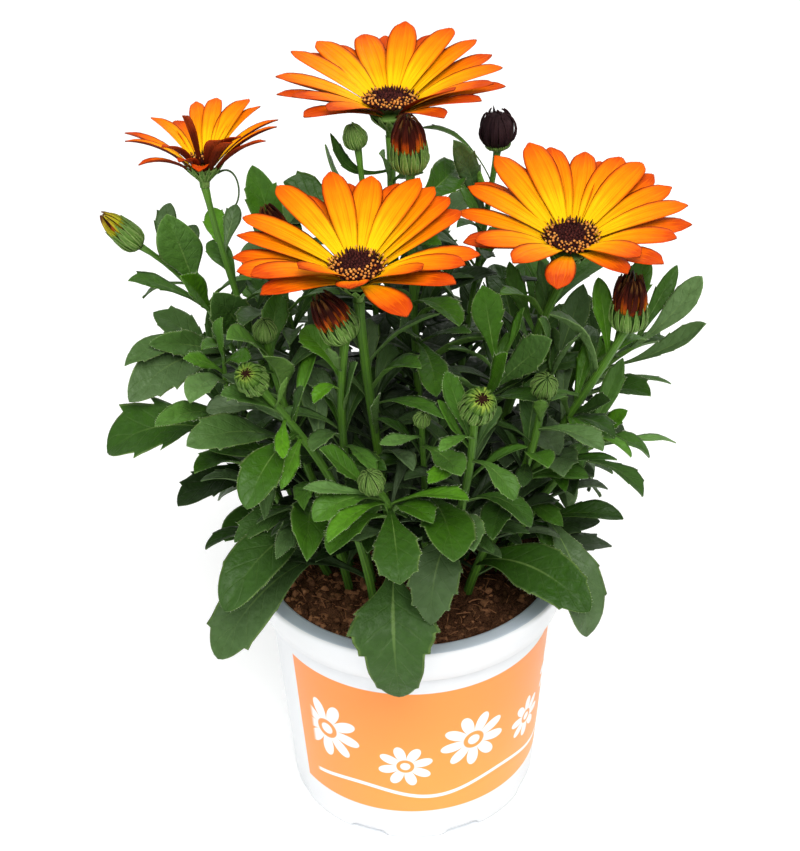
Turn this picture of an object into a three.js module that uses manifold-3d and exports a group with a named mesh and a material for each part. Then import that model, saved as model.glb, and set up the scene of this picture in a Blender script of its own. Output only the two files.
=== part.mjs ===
// A potted osteospermum (African daisy) in a 12 cm nursery pot: the pot, its soil, the leafy
// shoots that stand in it, and the flower heads and buds that they carry.
//
// Millimetres, +Z up. The origin is the middle of the pot's underside. -Y is the plant's front,
// the side that its fullest flower head leans to.

import * as THREE from 'three';
import { mergeVertices } from 'three/addons/utils/BufferGeometryUtils.js';
import Module from 'manifold-3d';

const wasm = await Module();
wasm.setup();

// ---------------------------------------------------------------- driving dimensions

const GAP = 0.3; // clearance between pieces that rest on each other
const UP = new THREE.Vector3(0, 0, 1);
const FRONT = new THREE.Vector3(0, -0.83, 0.56); // the way that the leaves in front turn
const GOLDEN_ANGLE = 137.5; // degrees from one leaf to the next up a shoot
const FILL_SPREAD = 105; // degrees to either side that a shoot's fill leaves spread

const POT = {
  height: 102,
  rimRadius: 60,
  rimBand: 15, // height of the skirt that hangs from the lip
  footRadius: 46.9,
  shoulderRadius: 53.2, // outside of the wall where it meets the rim
  wall: 1.3,
  floor: 3.4,
  sides: 32,
  notches: 8, // shallow drainage notches in the edge of the foot
  notchWidth: 16,
  notchHeight: 2.6,
  notchDepth: 5,
  drainRadius: 3.5,
  drainCircle: 30,
};

const SOIL = { top: 98.4, crumb: 1.3, sides: 18, rings: [14, 30, 45] };

const STEM = { radius: 1.7, sides: 5, foot: 82, slack: 0.9 }; // slack: a facet's most sag

const BLADE = { thickness: 1.3, fold: 0.22 };

const BLOOM = {
  cupTop: -4.7, // heights are above the crown, the top of the disc
  hubBottom: -4.4,
  hubTop: -1.2,
  rayRoot: 0.7, // distance of a ray's root from the head's axis, as a share of the hub's radius
  rayRootHeight: -3.1,
  rayThickness: 1,
  rayArch: 1.8,
  layer: 0.7, // rays lie in two layers, this far above and below their mean
};

// ---------------------------------------------------------------- outlines of blades

// Each station is [place along the blade, half width], both as fractions.
const OUTLINE = {
  toothed: [[0, 0.2], [0.46, 0.86], [0.53, 0.7], [0.72, 1], [0.9, 0.68], [1, 0]],
  plain: [[0, 0.22], [0.4, 0.7], [0.67, 1], [0.9, 0.66], [1, 0]],
  small: [[0, 0.3], [0.55, 1], [0.87, 0.64], [1, 0]],
  ray: [[0, 0.36], [0.48, 0.96], [0.84, 0.76], [1, 0]],
};

// ---------------------------------------------------------------- the plant

// A shoot's stem is a cubic Bezier curve: root [x, y] in the soil, lean1, lean2, top.
// leaf: [place along the stem, tip x, y, z, full width, turn to the front in degrees, arch]
// fill: [count, from, to, length, azimuth] sets further leaves, spread about that azimuth.
// head: what the stem carries. A bloom's rays are [azimuth, rise, reach] from its crown, which
// is `depth` above the top of the stem; `hub` and `disc` are radii and `ray` is a half width.
const SHOOTS = {
  bloom_front: {
    root: [-5, -17], lean1: [-7, -15, 141], lean2: [-13, -47, 191], top: [-15, -54, 242],
    head: {
      kind: 'bloom', axis: [0, -0.087, 0.996], depth: 12.5, hub: 7, disc: 8, ray: 5.3,
      rays: [
        [353, 10, 38], [33, 9, 39], [41, 13, 39], [50, 15, 39], [58, 18, 39], [70, 11, 39], [83, 13, 39],
        [94, 9, 39], [103, 17, 39], [118, 7, 39], [132, 19, 39], [158, 15, 39], [170, 12, 38], [182, 8, 38],
        [197, 10, 38], [212, 17, 38], [221, 12, 38], [230, 24, 29], [266, 16, 24], [293, 9, 38],
        [314, 20, 30], [324, 12, 37], [338, 15, 36],
      ],
    },
    leaves: [[0.59, -10, -58, 209, 6, 60, 0], [0.69, 12, -66, 202, 6, 0, 4]],
    fill: [2, 0.35, 0.6, 46, 200],
  },
  bloom_right: {
    root: [17, 0], lean1: [25, -7, 134], lean2: [37, -5, 185], top: [54, -15, 230],
    head: {
      kind: 'bloom', axis: [0, -0.156, 0.988], depth: 12.5, hub: 7, disc: 8.6, ray: 5.3,
      rays: [
        [356, 9, 39], [6, 14, 39], [27, 10, 39], [41, 9, 39], [48, 13, 39], [60, 12, 39], [71, 6, 39],
        [79, 11, 39], [97, 14, 39], [109, 20, 39], [120, 9, 38], [130, 19, 39], [144, 10, 38], [153, 14, 38],
        [172, 11, 38], [195, 10, 37], [204, 16, 36], [230, 17, 33], [258, 9, 34], [297, 14, 34],
        [308, 20, 33], [316, 13, 38], [337, 15, 36],
      ],
    },
    leaves: [
      [0.15, 55, -36, 114, 8, 0, 5], [0.38, 71, -10, 135, 17, 0, 4], [0.8, 50, -6, 227, 9, 60, 0],
    ],
    fill: [3, 0.3, 0.75, 48, 30],
  },
  bloom_rear: {
    root: [-1, 9], lean1: [0, 11, 144], lean2: [-5, 12, 208], top: [-4, 12, 266],
    head: {
      kind: 'bloom', axis: [0, 0.035, 0.999], depth: 12.5, hub: 7, disc: 8.3, ray: 5.3,
      rays: [
        [353, 9, 38], [5, 15, 38], [27, 13, 39], [39, 17, 39], [55, 20, 39], [65, 14, 39], [81, 20, 39],
        [92, 11, 39], [103, 13, 39], [120, 10, 39], [130, 15, 39], [139, 10, 39], [150, 15, 39], [166, 8, 38],
        [180, 14, 38], [194, 10, 38], [207, 14, 36], [222, 9, 37], [234, 14, 34], [300, 10, 34],
        [316, 19, 30], [325, 13, 36], [338, 17, 37],
      ],
    },
    leaves: [[0.9, -7, 2, 265, 6, 50, 0], [0.84, -24, 0, 268, 6, 30, -6]],
    fill: [3, 0.35, 0.8, 46, 100],
  },
  bloom_left: {
    root: [-17, -3], lean1: [-35, -4, 141], lean2: [-56, -8, 198], top: [-65, -6, 258],
    head: {
      kind: 'bloom', axis: [0, 0.309, 0.951], depth: 8.5, hub: 5, disc: 4.8, ray: 3,
      rays: [
        [2, 25, 26], [20, 26, 28], [44, 34, 29], [58, 36, 31], [84, 36, 31], [99, 33, 31], [115, 24, 28],
        [131, 24, 31], [160, 18, 29], [178, 18, 26], [205, 5, 22], [225, 24, 18], [244, 10, 15],
        [258, 43, 26], [268, -4, 13], [290, 26, 22], [303, 24, 21], [318, 31, 20], [340, 19, 23],
      ],
    },
    leaves: [
      [0.65, -62, -26, 228, 14, 60, 0], [0.78, -67, 2, 233, 9, 50, 4], [0.84, -65, 8, 243, 14, 80, 0],
      [0.86, -56, 4, 246, 6, 80, 0],
    ],
    fill: [2, 0.35, 0.6, 48, 200],
  },
  bud_left: {
    root: [-26, 6], lean1: [-54, 9, 125], lean2: [-49, 17, 193], top: [-91, 10, 228],
    head: { kind: 'bud', axis: [-0.68, 0, 0.73], cup: 9, tuft: 10, radius: 5.4, colour: 'bud_yellow' },
    leaves: [
      [0.6, -94, -26, 188, 17, 30, 10], [0.64, -86, -14, 203, 9, 50, 3], [0.68, -95, -20, 200, 11, 30, 4],
      [0.73, -74, -14, 229, 9, 40, 0], [0.78, -93, -4, 223, 8, 30, 2], [0.82, -79, 0, 244, 15, 70, 0],
      [0.86, -92, 14, 205, 9, 0, 2], [0.9, -72, 20, 230, 9, 60, 0], [0.94, -80, 17, 240, 8, 60, 0],
    ],
    fill: [2, 0.28, 0.52, 46, 150],
  },
  head_spent: {
    root: [11, 11], lean1: [14, 18, 141], lean2: [23, 20, 197], top: [32, 20, 256],
    head: { kind: 'bud', axis: [-0.08, 0, 1], cup: 4, tuft: 12.5, radius: 5.8, colour: 'bud_spent' },
    leaves: [[0.6, 11, -30, 237, 10, 60, 0], [0.85, 17, -2, 270, 8, 80, 0], [0.89, 25, 8, 256, 5, 40, -4]],
    fill: [3, 0.35, 0.8, 46, 70],
  },
  bud_striped: {
    root: [3, -5], lean1: [7, -10, 143], lean2: [1, -12, 212], top: [2, -18, 268],
    head: { kind: 'bud', axis: [-0.04, 0, 1], cup: 9.5, tuft: 11.5, radius: 6.2, colour: 'bud_dark' },
    leaves: [
      [0.62, 21, -30, 215, 6, 0, 2], [0.63, -2, -34, 219, 10, 0, 2], [0.63, 9, -52, 205, 10, 0, 3],
      [0.92, 22, 10, 255, 12, 60, 0],
    ],
    fill: [2, 0.45, 0.8, 38, 60],
  },
  bud_under_front: {
    root: [-12, -13], lean1: [-19, -12, 135], lean2: [-25, -52, 179], top: [-20, -60, 229],
    head: { kind: 'bud', axis: [-0.3, 0, 0.95], cup: 8, tuft: 11, radius: 6.3, colour: 'bud_dark' },
    leaves: [
      [0.69, -35, -62, 189, 10, 0, 4], [0.77, -35, -40, 207, 12, 20, 4], [0.79, -17, -60, 223, 8, 60, 0],
      [0.87, -30, -66, 212, 9, 10, 3], [0.9, -34, -44, 226, 10, 30, 3],
    ],
    fill: [2, 0.3, 0.6, 42, 190],
  },
  bud_dark_right: {
    root: [19, -10], lean1: [34, -9, 133], lean2: [54, -28, 176], top: [72, -34, 218],
    head: { kind: 'bud', axis: [0, 0, 1], cup: 8.5, tuft: 12, radius: 6, colour: 'bud_dark' },
    leaves: [
      [0.66, 69, -40, 179, 8, 0, 4], [0.69, 67, -34, 190, 10, 30, 0], [0.88, 80, -22, 206, 8, 0, 4],
      [0.9, 63, -22, 230, 7, 80, 0], [0.92, 80, -14, 234, 9, -80, 0],
    ],
    fill: [2, 0.3, 0.6, 46, 10],
  },
  bud_green_left: {
    root: [-21, -16], lean1: [-24, -24, 133], lean2: [-40, -40, 178], top: [-45, -50, 226],
    head: { kind: 'green', axis: [0, -0.15, 0.99], height: 9.5, radius: 4.7 },
    leaves: [
      [0.26, -68, -62, 104, 20, 10, 12], [0.39, -60, -50, 146, 10, 10, 6], [0.41, -44, -74, 157, 8, 10, 5],
      [0.33, -63, -72, 134, 19, 10, 12], [0.44, -33, -84, 166, 13, 10, 6], [0.64, -71, -62, 195, 14, 15, 5],
      [0.8, -45, -60, 226, 12, 20, 3], [0.94, -56, -60, 233, 9, 30, 2], [0.93, -41, -34, 234, 9, 50, 0],
    ],
    fill: [1, 0.5, 0.7, 38, 120],
  },
  bud_opening_left: {
    root: [-13, -24], lean1: [-13, -41, 131], lean2: [-24, -47, 178], top: [-47, -70, 219],
    head: { kind: 'bud', axis: [-0.3, -0.4, 0.87], cup: 8, tuft: 3, radius: 5.4, colour: 'bud_opening' },
    leaves: [
      [0.82, -51, -92, 191, 13, -20, 4], [0.86, -33, -66, 218, 6, 60, 0], [0.9, -58, -72, 220, 8, 20, 2],
    ],
    fill: [1, 0.4, 0.7, 36, 60],
  },
  bud_opening_front: {
    root: [9, -25], lean1: [12, -35, 126], lean2: [19, -57, 165], top: [21, -70, 207],
    head: { kind: 'bud', axis: [0.1, -0.3, 0.95], cup: 9, tuft: 3, radius: 6.2, colour: 'bud_opening' },
    leaves: [
      [0.54, 6, -76, 129, 17, -20, 10], [0.65, 40, -66, 162, 14, 0, 6], [0.84, 33, -80, 183, 15, 0, 4],
      [0.9, 12, -60, 219, 7, 80, 0],
    ],
    fill: [2, 0.3, 0.7, 36, 20],
  },
  bud_green_right: {
    root: [18, -19], lean1: [22, -24, 124], lean2: [40, -46, 159], top: [44, -50, 201],
    head: { kind: 'green', axis: [0, -0.15, 0.99], height: 9.5, radius: 4.9 },
    leaves: [[0.3, 61, -58, 119, 19, 0, 12], [0.9, 62, -66, 192, 9, 0, 3]],
    fill: [3, 0.35, 0.85, 38, 350],
  },
  bud_low_front: {
    root: [-3, -28], lean1: [-13, -48, 112], lean2: [2, -49, 159], top: [-12, -76, 184],
    head: { kind: 'green', axis: [-0.1, -0.3, 0.95], height: 9.5, radius: 4.6 },
    leaves: [
      [0.5, -5, -78, 99, 29, 0, 14], [0.76, -26, -88, 169, 11, 0, 5], [0.79, 7, -82, 177, 10, 0, 4],
      [0.82, -4, -104, 170, 15, 0, 5], [0.85, 18, -84, 187, 7, 0, 2], [0.87, -26, -98, 183, 7, 10, 3],
      [0.9, -31, -84, 180, 12, 10, 4], [0.94, -28, -72, 199, 10, 20, 0],
    ],
    fill: [0],
  },
  bud_small: {
    root: [4, -19], lean1: [6, -24, 124], lean2: [5, -38, 163], top: [4, -60, 199],
    head: { kind: 'green', axis: [0.1, -0.2, 0.97], height: 6.5, radius: 3.2 },
    leaves: [[0.6, 29, -86, 170, 17, 0, 5], [0.88, 16, -76, 191, 10, 10, 1]],
    fill: [2, 0.5, 0.85, 30, 190],
  },
  bud_hidden: {
    root: [-15, 6], lean1: [-14, 13, 140], lean2: [-47, -8, 189], top: [-39, -18, 242],
    head: { kind: 'bud', axis: [-0.4, 0.1, 0.91], cup: 6, tuft: 9, radius: 4.2, colour: 'bud_dark' },
    leaves: [[0.9, -49, -8, 266, 11, 70, 0]],
    fill: [3, 0.35, 0.85, 44, 160],
  },
  bud_high: {
    root: [-7, 1], lean1: [-10, 3, 144], lean2: [-8, 3, 205], top: [-15, 1, 262],
    head: { kind: 'green', axis: [-0.25, -0.1, 0.96], height: 8, radius: 3.8 },
    leaves: [[0.88, -40, 6, 253, 13, 40, 0], [0.89, -19, -8, 259, 5, 40, 0]],
    fill: [2, 0.45, 0.8, 40, 170],
  },
  shoot_right: {
    root: [27, 4], lean1: [45, 7, 114], lean2: [43, 4, 166], top: [83, 12, 183],
    leaves: [
      [0.61, 66, 4, 125, 12, 0, 6], [0.82, 93, 0, 175, 4, 0, 1], [0.88, 104, 4, 196, 11, -30, 3],
      [0.93, 103, 14, 209, 12, -40, 2], [0.97, 96, 24, 208, 8, -70, 0],
    ],
    fill: [2, 0.4, 0.8, 44, 60],
  },
  shoot_left: {
    root: [-26, -8], lean1: [-34, -12, 126], lean2: [-64, -27, 160], top: [-61, -26, 205],
    leaves: [
      [0.5, -48, -60, 164, 9, 20, 8], [0.58, -71, -50, 176, 9, 10, 4], [0.7, -103, -34, 174, 23, 15, 8],
      [0.81, -82, -52, 196, 8, 40, 3], [0.92, -71, -48, 202, 11, 20, 4], [0.97, -61, -30, 222, 7, 60, 0],
    ],
    fill: [2, 0.25, 0.55, 46, 170],
  },
  shoot_low_right: {
    root: [26, -7], lean1: [37, -11, 110], lean2: [45, -15, 142], top: [66, -20, 164],
    leaves: [
      [0.47, 47, -38, 128, 8, 0, 5], [0.58, 64, -54, 105, 17, 0, 13], [0.75, 63, 10, 112, 9, 0, 6],
      [0.87, 82, -26, 144, 9, 0, 4], [0.92, 74, -10, 191, 7, 80, 0], [0.93, 84, -22, 158, 12, 0, 6],
      [0.95, 95, -8, 156, 6, 0, 1], [0.96, 54, -44, 168, 8, 30, 3],
    ],
    fill: [1, 0.3, 0.6, 42, 0],
  },
  shoot_centre: {
    root: [11, -12], lean1: [13, -18, 125], lean2: [19, -24, 167], top: [32, -32, 208],
    leaves: [[0.8, 31, -58, 224, 7, 70, 0], [0.85, 46, -44, 220, 12, -60, 0], [0.94, 25, -28, 231, 11, 80, 0]],
    fill: [2, 0.45, 0.9, 38, 60],
  },
  shoot_mid_right: {
    root: [25, -2], lean1: [31, -5, 121], lean2: [38, -9, 160], top: [53, -14, 196],
    leaves: [[0.88, 56, -36, 218, 5, 20, 0], [0.91, 44, -34, 222, 8, 85, 0], [0.94, 60, -6, 218, 10, 80, 0]],
    fill: [3, 0.35, 0.9, 42, 10],
  },
  shoot_back: {
    root: [0, 27], lean1: [1, 42, 122], lean2: [3, 53, 163], top: [4, 62, 205],
    head: { kind: 'green', axis: [0, 0.2, 0.98], height: 9.5, radius: 4.8 },
    leaves: [[0.4, -20, 66, 108, 18, 0, 10], [0.55, 6, 104, 158, 19, 0, 8]],
    fill: [5, 0.2, 0.95, 52, 90],
  },
  shoot_back_left: {
    root: [-18, 20], lean1: [-28, 34, 122], lean2: [-41, 42, 163], top: [-54, 46, 205],
    leaves: [[0.35, -58, 66, 106, 18, 0, 10]],
    fill: [5, 0.2, 0.95, 52, 130],
  },
  shoot_back_right: {
    root: [20, 18], lean1: [30, 32, 122], lean2: [43, 40, 163], top: [56, 44, 205],
    head: { kind: 'green', axis: [0.2, 0.1, 0.97], height: 9, radius: 4.6 },
    leaves: [[0.35, 60, 62, 108, 18, 0, 10]],
    fill: [5, 0.2, 0.95, 52, 50],
  },
  shoot_low_back_left: {
    root: [-12, 27], lean1: [-20, 41, 110], lean2: [-27, 58, 137], top: [-34, 80, 160],
    leaves: [[0.5, -66, 82, 138, 16, 0, 8]],
    fill: [4, 0.35, 0.97, 46, 120],
  },
  shoot_low_back_right: {
    root: [12, 26], lean1: [19, 41, 110], lean2: [27, 59, 137], top: [36, 80, 160],
    leaves: [[0.5, 24, 100, 122, 17, 0, 10]],
    fill: [4, 0.35, 0.97, 46, 60],
  },
  shoot_far_left: {
    root: [-25, 14], lean1: [-39, 23, 112], lean2: [-56, 30, 139], top: [-76, 36, 165],
    leaves: [[0.3, -74, 30, 106, 19, 0, 10]],
    fill: [4, 0.25, 0.97, 46, 165],
  },
  shoot_far_right: {
    root: [27, 12], lean1: [35, 23, 112], lean2: [51, 30, 138], top: [76, 34, 160],
    leaves: [[0.35, 74, 26, 107, 19, 0, 10]],
    fill: [4, 0.25, 0.97, 46, 15],
  },
};

// ---------------------------------------------------------------- solids and meshes

/** A closed triangle list as a manifold solid. */
function solidFrom(vertProperties, triVerts) {
  const mesh = new wasm.Mesh({
    numProp: 3,
    vertProperties: Float32Array.from(vertProperties),
    triVerts: Uint32Array.from(triVerts),
  });
  return new wasm.Manifold(mesh);
}

/** A closed three.js geometry as a manifold solid, with its shared vertices merged. */
function solidFromGeometry(geometry) {
  const bare = geometry.clone();
  bare.deleteAttribute('normal');
  bare.deleteAttribute('uv');
  const merged = mergeVertices(bare, 1e-3);
  const index = merged.getIndex().array;
  const triangles = [];
  for (let i = 0; i < index.length; i += 3) {
    const [a, b, c] = [index[i], index[i + 1], index[i + 2]];
    if (a !== b && b !== c && c !== a) {
      triangles.push(a, b, c);
    }
  }
  return solidFrom(merged.getAttribute('position').array, triangles);
}

/** A solid as a named three.js mesh, without the slivers that joining leaves. */
function meshOf(name, solid, material) {
  const { vertProperties, triVerts } = solid.simplify(0.02).getMesh();
  const geometry = new THREE.BufferGeometry();
  geometry.setAttribute('position', new THREE.BufferAttribute(vertProperties, 3));
  geometry.setIndex(new THREE.BufferAttribute(triVerts, 1));
  geometry.computeVertexNormals();
  const mesh = new THREE.Mesh(geometry, material);
  mesh.name = name;
  return mesh;
}

/**
 * A closed body of rings round an axis, from the bottom ring to the top one.
 * ring(k, j) gives the [radius, height] of side j on ring k.
 */
function ringStack(count, sides, ring, bottomHeight, topHeight) {
  const vertices = [0, 0, bottomHeight];
  for (let k = 0; k < count; k++) {
    for (let j = 0; j < sides; j++) {
      const [radius, height] = ring(k, j);
      const angle = (2 * Math.PI * j) / sides;
      vertices.push(radius * Math.cos(angle), radius * Math.sin(angle), height);
    }
  }
  vertices.push(0, 0, topHeight);
  const apex = count * sides + 1;
  const triangles = [];
  for (let j = 0; j < sides; j++) {
    const next = (j + 1) % sides;
    triangles.push(0, 1 + next, 1 + j);
    for (let k = 0; k + 1 < count; k++) {
      const low = 1 + k * sides;
      const high = low + sides;
      triangles.push(low + j, low + next, high + next, low + j, high + next, high + j);
    }
    const last = 1 + (count - 1) * sides;
    triangles.push(last + j, last + next, apex);
  }
  return solidFrom(vertices, triangles);
}

/** A solid made round the +Z axis, turned to an axis and moved to a place. */
function place(solid, axis, origin) {
  const turn = new THREE.Quaternion().setFromUnitVectors(UP, axis.clone().normalize());
  const matrix = new THREE.Matrix4().compose(origin, turn, new THREE.Vector3(1, 1, 1));
  return solid.transform(matrix.elements);
}

// ---------------------------------------------------------------- blades

/**
 * A thin blade with two sharp edges and a keel below; a ridged one has a rib above as well.
 * frame(s) gives its centre line, side and normal at s. Both faces are cut into triangles
 * alike, so they never cross.
 */
function blade(frame, outline, halfWidth, thickness, fold, ridged) {
  const vertices = [];
  const put = (point) => vertices.push(point.x, point.y, point.z);
  const stations = outline.slice(0, -1);
  for (const [s, width] of stations) {
    const { centre, side, normal } = frame(s);
    const reach = width * halfWidth;
    const lift = fold * reach;
    const rib = (thickness / 2) * (1 - 0.45 * s);
    put(centre.clone().addScaledVector(side, reach).addScaledVector(normal, lift));
    if (ridged) {
      put(centre.clone().addScaledVector(normal, rib));
    }
    put(centre.clone().addScaledVector(side, -reach).addScaledVector(normal, lift));
    put(centre.clone().addScaledVector(normal, -rib));
  }
  put(frame(1).centre);
  const upper = ridged ? [[0, 1], [1, 2]] : [[0, 1]];
  const lower = ridged ? [[2, 3], [3, 0]] : [[1, 2], [2, 0]];
  const size = ridged ? 4 : 3;
  const triangles = ridged ? [1, 0, 3, 1, 3, 2] : [1, 0, 2];
  for (let k = 0; k + 1 < stations.length; k++) {
    const a = size * k;
    const b = a + size;
    for (const [p, q] of upper) {
      triangles.push(a + p, a + q, b + p, a + q, b + q, b + p);
    }
    for (const [p, q] of lower) {
      triangles.push(a + p, a + q, b + q, a + p, b + q, b + p);
    }
  }
  const end = size * (stations.length - 1);
  for (const [p, q] of [...upper, ...lower]) {
    triangles.push(end + p, end + q, end + size);
  }
  return solidFrom(vertices, triangles);
}

/** The level side and the upward normal of a blade that runs from its root to its tip. */
function naturalLie(root, tip) {
  const chord = tip.clone().sub(root).normalize();
  const side = UP.clone().cross(chord).normalize();
  return { chord, side, normal: chord.clone().cross(side) };
}

/** The roll, in radians, that turns a blade's upper face to the front by a number of degrees. */
function rollToFront(root, tip, degrees) {
  const { chord, normal } = naturalLie(root, tip);
  const front = FRONT.clone().addScaledVector(chord, -FRONT.dot(chord)).normalize();
  const whole = Math.atan2(normal.clone().cross(front).dot(chord), normal.dot(front));
  const most = THREE.MathUtils.degToRad(Math.abs(degrees));
  return THREE.MathUtils.clamp(whole, -most, most);
}

/** The centre line, side and normal of a leaf from its root to its tip. */
function leafFrame(root, tip, roll, arch) {
  const { side, normal: chordNormal } = naturalLie(root, tip);
  const control = root.clone().add(tip).multiplyScalar(0.5).addScaledVector(chordNormal, 2 * arch);
  const curve = new THREE.QuadraticBezierCurve3(root, control, tip);
  return (s) => {
    const tangent = curve.getTangent(s);
    const across = side.clone().applyAxisAngle(tangent, roll);
    const normal = tangent.clone().cross(across).normalize();
    return { centre: curve.getPoint(s), side: across, normal };
  };
}

/** A tip swung round its root: [turn about Z, rise, share of the length]. */
function swungTip(root, tip, [turn, rise, share]) {
  const chord = tip.clone().sub(root);
  const length = chord.length() * share;
  const azimuth = Math.atan2(chord.y, chord.x) + THREE.MathUtils.degToRad(turn);
  const flat = Math.hypot(chord.x, chord.y);
  const slope = Math.atan2(chord.z, flat) + THREE.MathUtils.degToRad(rise);
  const across = Math.cos(slope) * length;
  return new THREE.Vector3(
    root.x + across * Math.cos(azimuth),
    root.y + across * Math.sin(azimuth),
    root.z + length * Math.sin(slope),
  );
}

// The swings that a leaf tries, in turn, until it is clear of every other piece.
const SWINGS = [
  [0, 0, 1], [7, 0, 1], [-7, 0, 1], [0, 7, 1], [0, -7, 1], [11, 8, 1], [-11, 8, 1], [11, -8, 1],
  [-11, -8, 1], [17, 0, 1], [-17, 0, 1], [0, 15, 1], [0, -15, 1], [0, 0, 0.85], [19, 14, 1],
  [-19, 14, 1], [19, -14, 1], [-19, -14, 1], [12, 0, 0.8], [-12, 0, 0.8], [27, 0, 1], [-27, 0, 1],
  [0, 24, 0.9], [30, 16, 0.9], [-30, 16, 0.9], [0, 0, 0.7], [20, 0, 0.7], [-20, 0, 0.7],
  [0, 18, 0.7], [0, -18, 0.7],
];

// ---------------------------------------------------------------- clearance

const placed = []; // every solid so far: { owner, solid, box }

function register(owner, solid) {
  placed.push({ owner, solid, box: solid.boundingBox() });
}

function boxesMeet(a, b) {
  return [0, 1, 2].every((axis) => a.min[axis] <= b.max[axis] && b.min[axis] <= a.max[axis]);
}

function isClear(owner, solid) {
  const box = solid.boundingBox();
  return placed.every((other) => (
    other.owner === owner || !boxesMeet(box, other.box) || solid.intersect(other.solid).isEmpty()
  ));
}

// ---------------------------------------------------------------- leaves on a shoot

function outlineFor(width) {
  if (width >= 14) {
    return OUTLINE.toothed;
  }
  return width > 8.5 ? OUTLINE.plain : OUTLINE.small;
}

/** One leaf, swung until it is clear, or null where no swing clears it. */
function clearLeaf(owner, root, tip, width, roll, arch) {
  for (const swing of SWINGS) {
    const end = swungTip(root, tip, swing);
    const frame = leafFrame(root, end, roll, arch);
    const outline = outlineFor(width);
    const ridged = outline === OUTLINE.toothed;
    const stout = blade(frame, outline, width / 2 + 2 * GAP, BLADE.thickness + 4 * GAP, BLADE.fold, ridged);
    if (isClear(owner, stout)) {
      return blade(frame, outline, width / 2, BLADE.thickness, BLADE.fold, ridged);
    }
  }
  return null;
}

/** The tip of a fill leaf: leaves are longer and flatter lower down the shoot. */
function fillTip(root, place, length, azimuthDegrees) {
  const azimuth = THREE.MathUtils.degToRad(azimuthDegrees);
  const slope = THREE.MathUtils.degToRad(-4 + 46 * place);
  const reach = length * (1.2 - 0.45 * place);
  return new THREE.Vector3(
    root.x + reach * Math.cos(slope) * Math.cos(azimuth),
    root.y + reach * Math.cos(slope) * Math.sin(azimuth),
    root.z + reach * Math.sin(slope),
  );
}

/** Every leaf that a shoot asks for, as { at, tip, width, roll, arch }. */
function leafPlan(shoot, curve) {
  const plan = shoot.leaves.map(([at, x, y, z, width, turn, arch]) => {
    const tip = new THREE.Vector3(x, y, z);
    return { at, tip, width, roll: rollToFront(curve.getPoint(at), tip, turn), arch };
  });
  const [count, from, to, length, azimuth] = shoot.fill;
  for (let i = 0; i < count; i++) {
    const at = from + ((to - from) * (i + 0.5)) / count;
    const spread = FILL_SPREAD * Math.sin(THREE.MathUtils.degToRad(GOLDEN_ANGLE * (i + 1)));
    const tip = fillTip(curve.getPoint(at), at, length, azimuth + spread);
    plan.push({ at, tip, width: length * (0.33 - 0.07 * at), roll: 0.2 * (i % 3) - 0.2, arch: length * 0.1 });
  }
  return plan;
}

// ---------------------------------------------------------------- stems and heads

function stemCurve({ root, lean1, lean2, top }) {
  const foot = new THREE.Vector3(root[0], root[1], STEM.foot);
  return new THREE.CubicBezierCurve3(
    foot, new THREE.Vector3(...lean1), new THREE.Vector3(...lean2), new THREE.Vector3(...top),
  );
}

function polygon(radius, sides) {
  const shape = new THREE.Shape();
  for (let j = 0; j < sides; j++) {
    const angle = (2 * Math.PI * j) / sides;
    const [x, y] = [radius * Math.cos(angle), radius * Math.sin(angle)];
    j === 0 ? shape.moveTo(x, y) : shape.lineTo(x, y);
  }
  shape.closePath();
  return shape;
}

/** The fewest straight steps that keep a stem within STEM.slack of its curve. */
function stemSteps(curve) {
  for (let steps = 3; steps < 12; steps++) {
    const points = curve.getSpacedPoints(steps);
    const sags = points.slice(1).map((point, i) => {
      const middle = curve.getPointAt((i + 0.5) / steps);
      return new THREE.Line3(points[i], point).closestPointToPoint(middle, true, new THREE.Vector3())
        .distanceTo(middle);
    });
    if (Math.max(...sags) < STEM.slack) {
      return steps;
    }
  }
  return 12;
}

function stemSolid(curve) {
  const geometry = new THREE.ExtrudeGeometry(polygon(STEM.radius, STEM.sides), {
    extrudePath: curve, steps: stemSteps(curve), bevelEnabled: false,
  });
  return solidFromGeometry(geometry);
}

/** The green cup under a head: ribbed, flat on top, and sunk 1 mm over the end of its stem. */
function cupSolid(height, radius, ribs) {
  const profile = [[1.8, -1], [radius, height * 0.5], [radius * 0.97, height]];
  const ring = (k, j) => [profile[k][0] * (j % 2 ? 0.9 : 1), profile[k][1]];
  return ringStack(profile.length, 2 * ribs, ring, profile[0][1], height);
}

/** A closed green bud: ribbed bracts that meet at its top. */
function greenBudSolid(height, radius, ribs) {
  const profile = [[1.8, -1], [radius, 0.38 * height], [0.66 * radius, 0.84 * height]];
  const ring = (k, j) => [profile[k][0] * (j % 2 ? 0.86 : 1), profile[k][1]];
  return ringStack(profile.length, 2 * ribs, ring, profile[0][1], height);
}

/** The rolled coloured rays that stand out of a bud's cup, as a ridged cone with a ragged top. */
function tuftSolid(height, radius, ribs) {
  const profile = [[radius * 0.84, 0], [radius * 0.92, height * 0.4], [radius * 0.42, height * 0.9]];
  const ring = (k, j) => {
    const ridge = j % 2 ? 0.8 : 1;
    const ragged = k === profile.length - 1 && j % 4 === 0 ? height * 0.1 : 0;
    return [profile[k][0] * ridge, profile[k][1] + ragged];
  };
  return ringStack(profile.length, 2 * ribs, ring, 0, height * 0.8);
}

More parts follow.
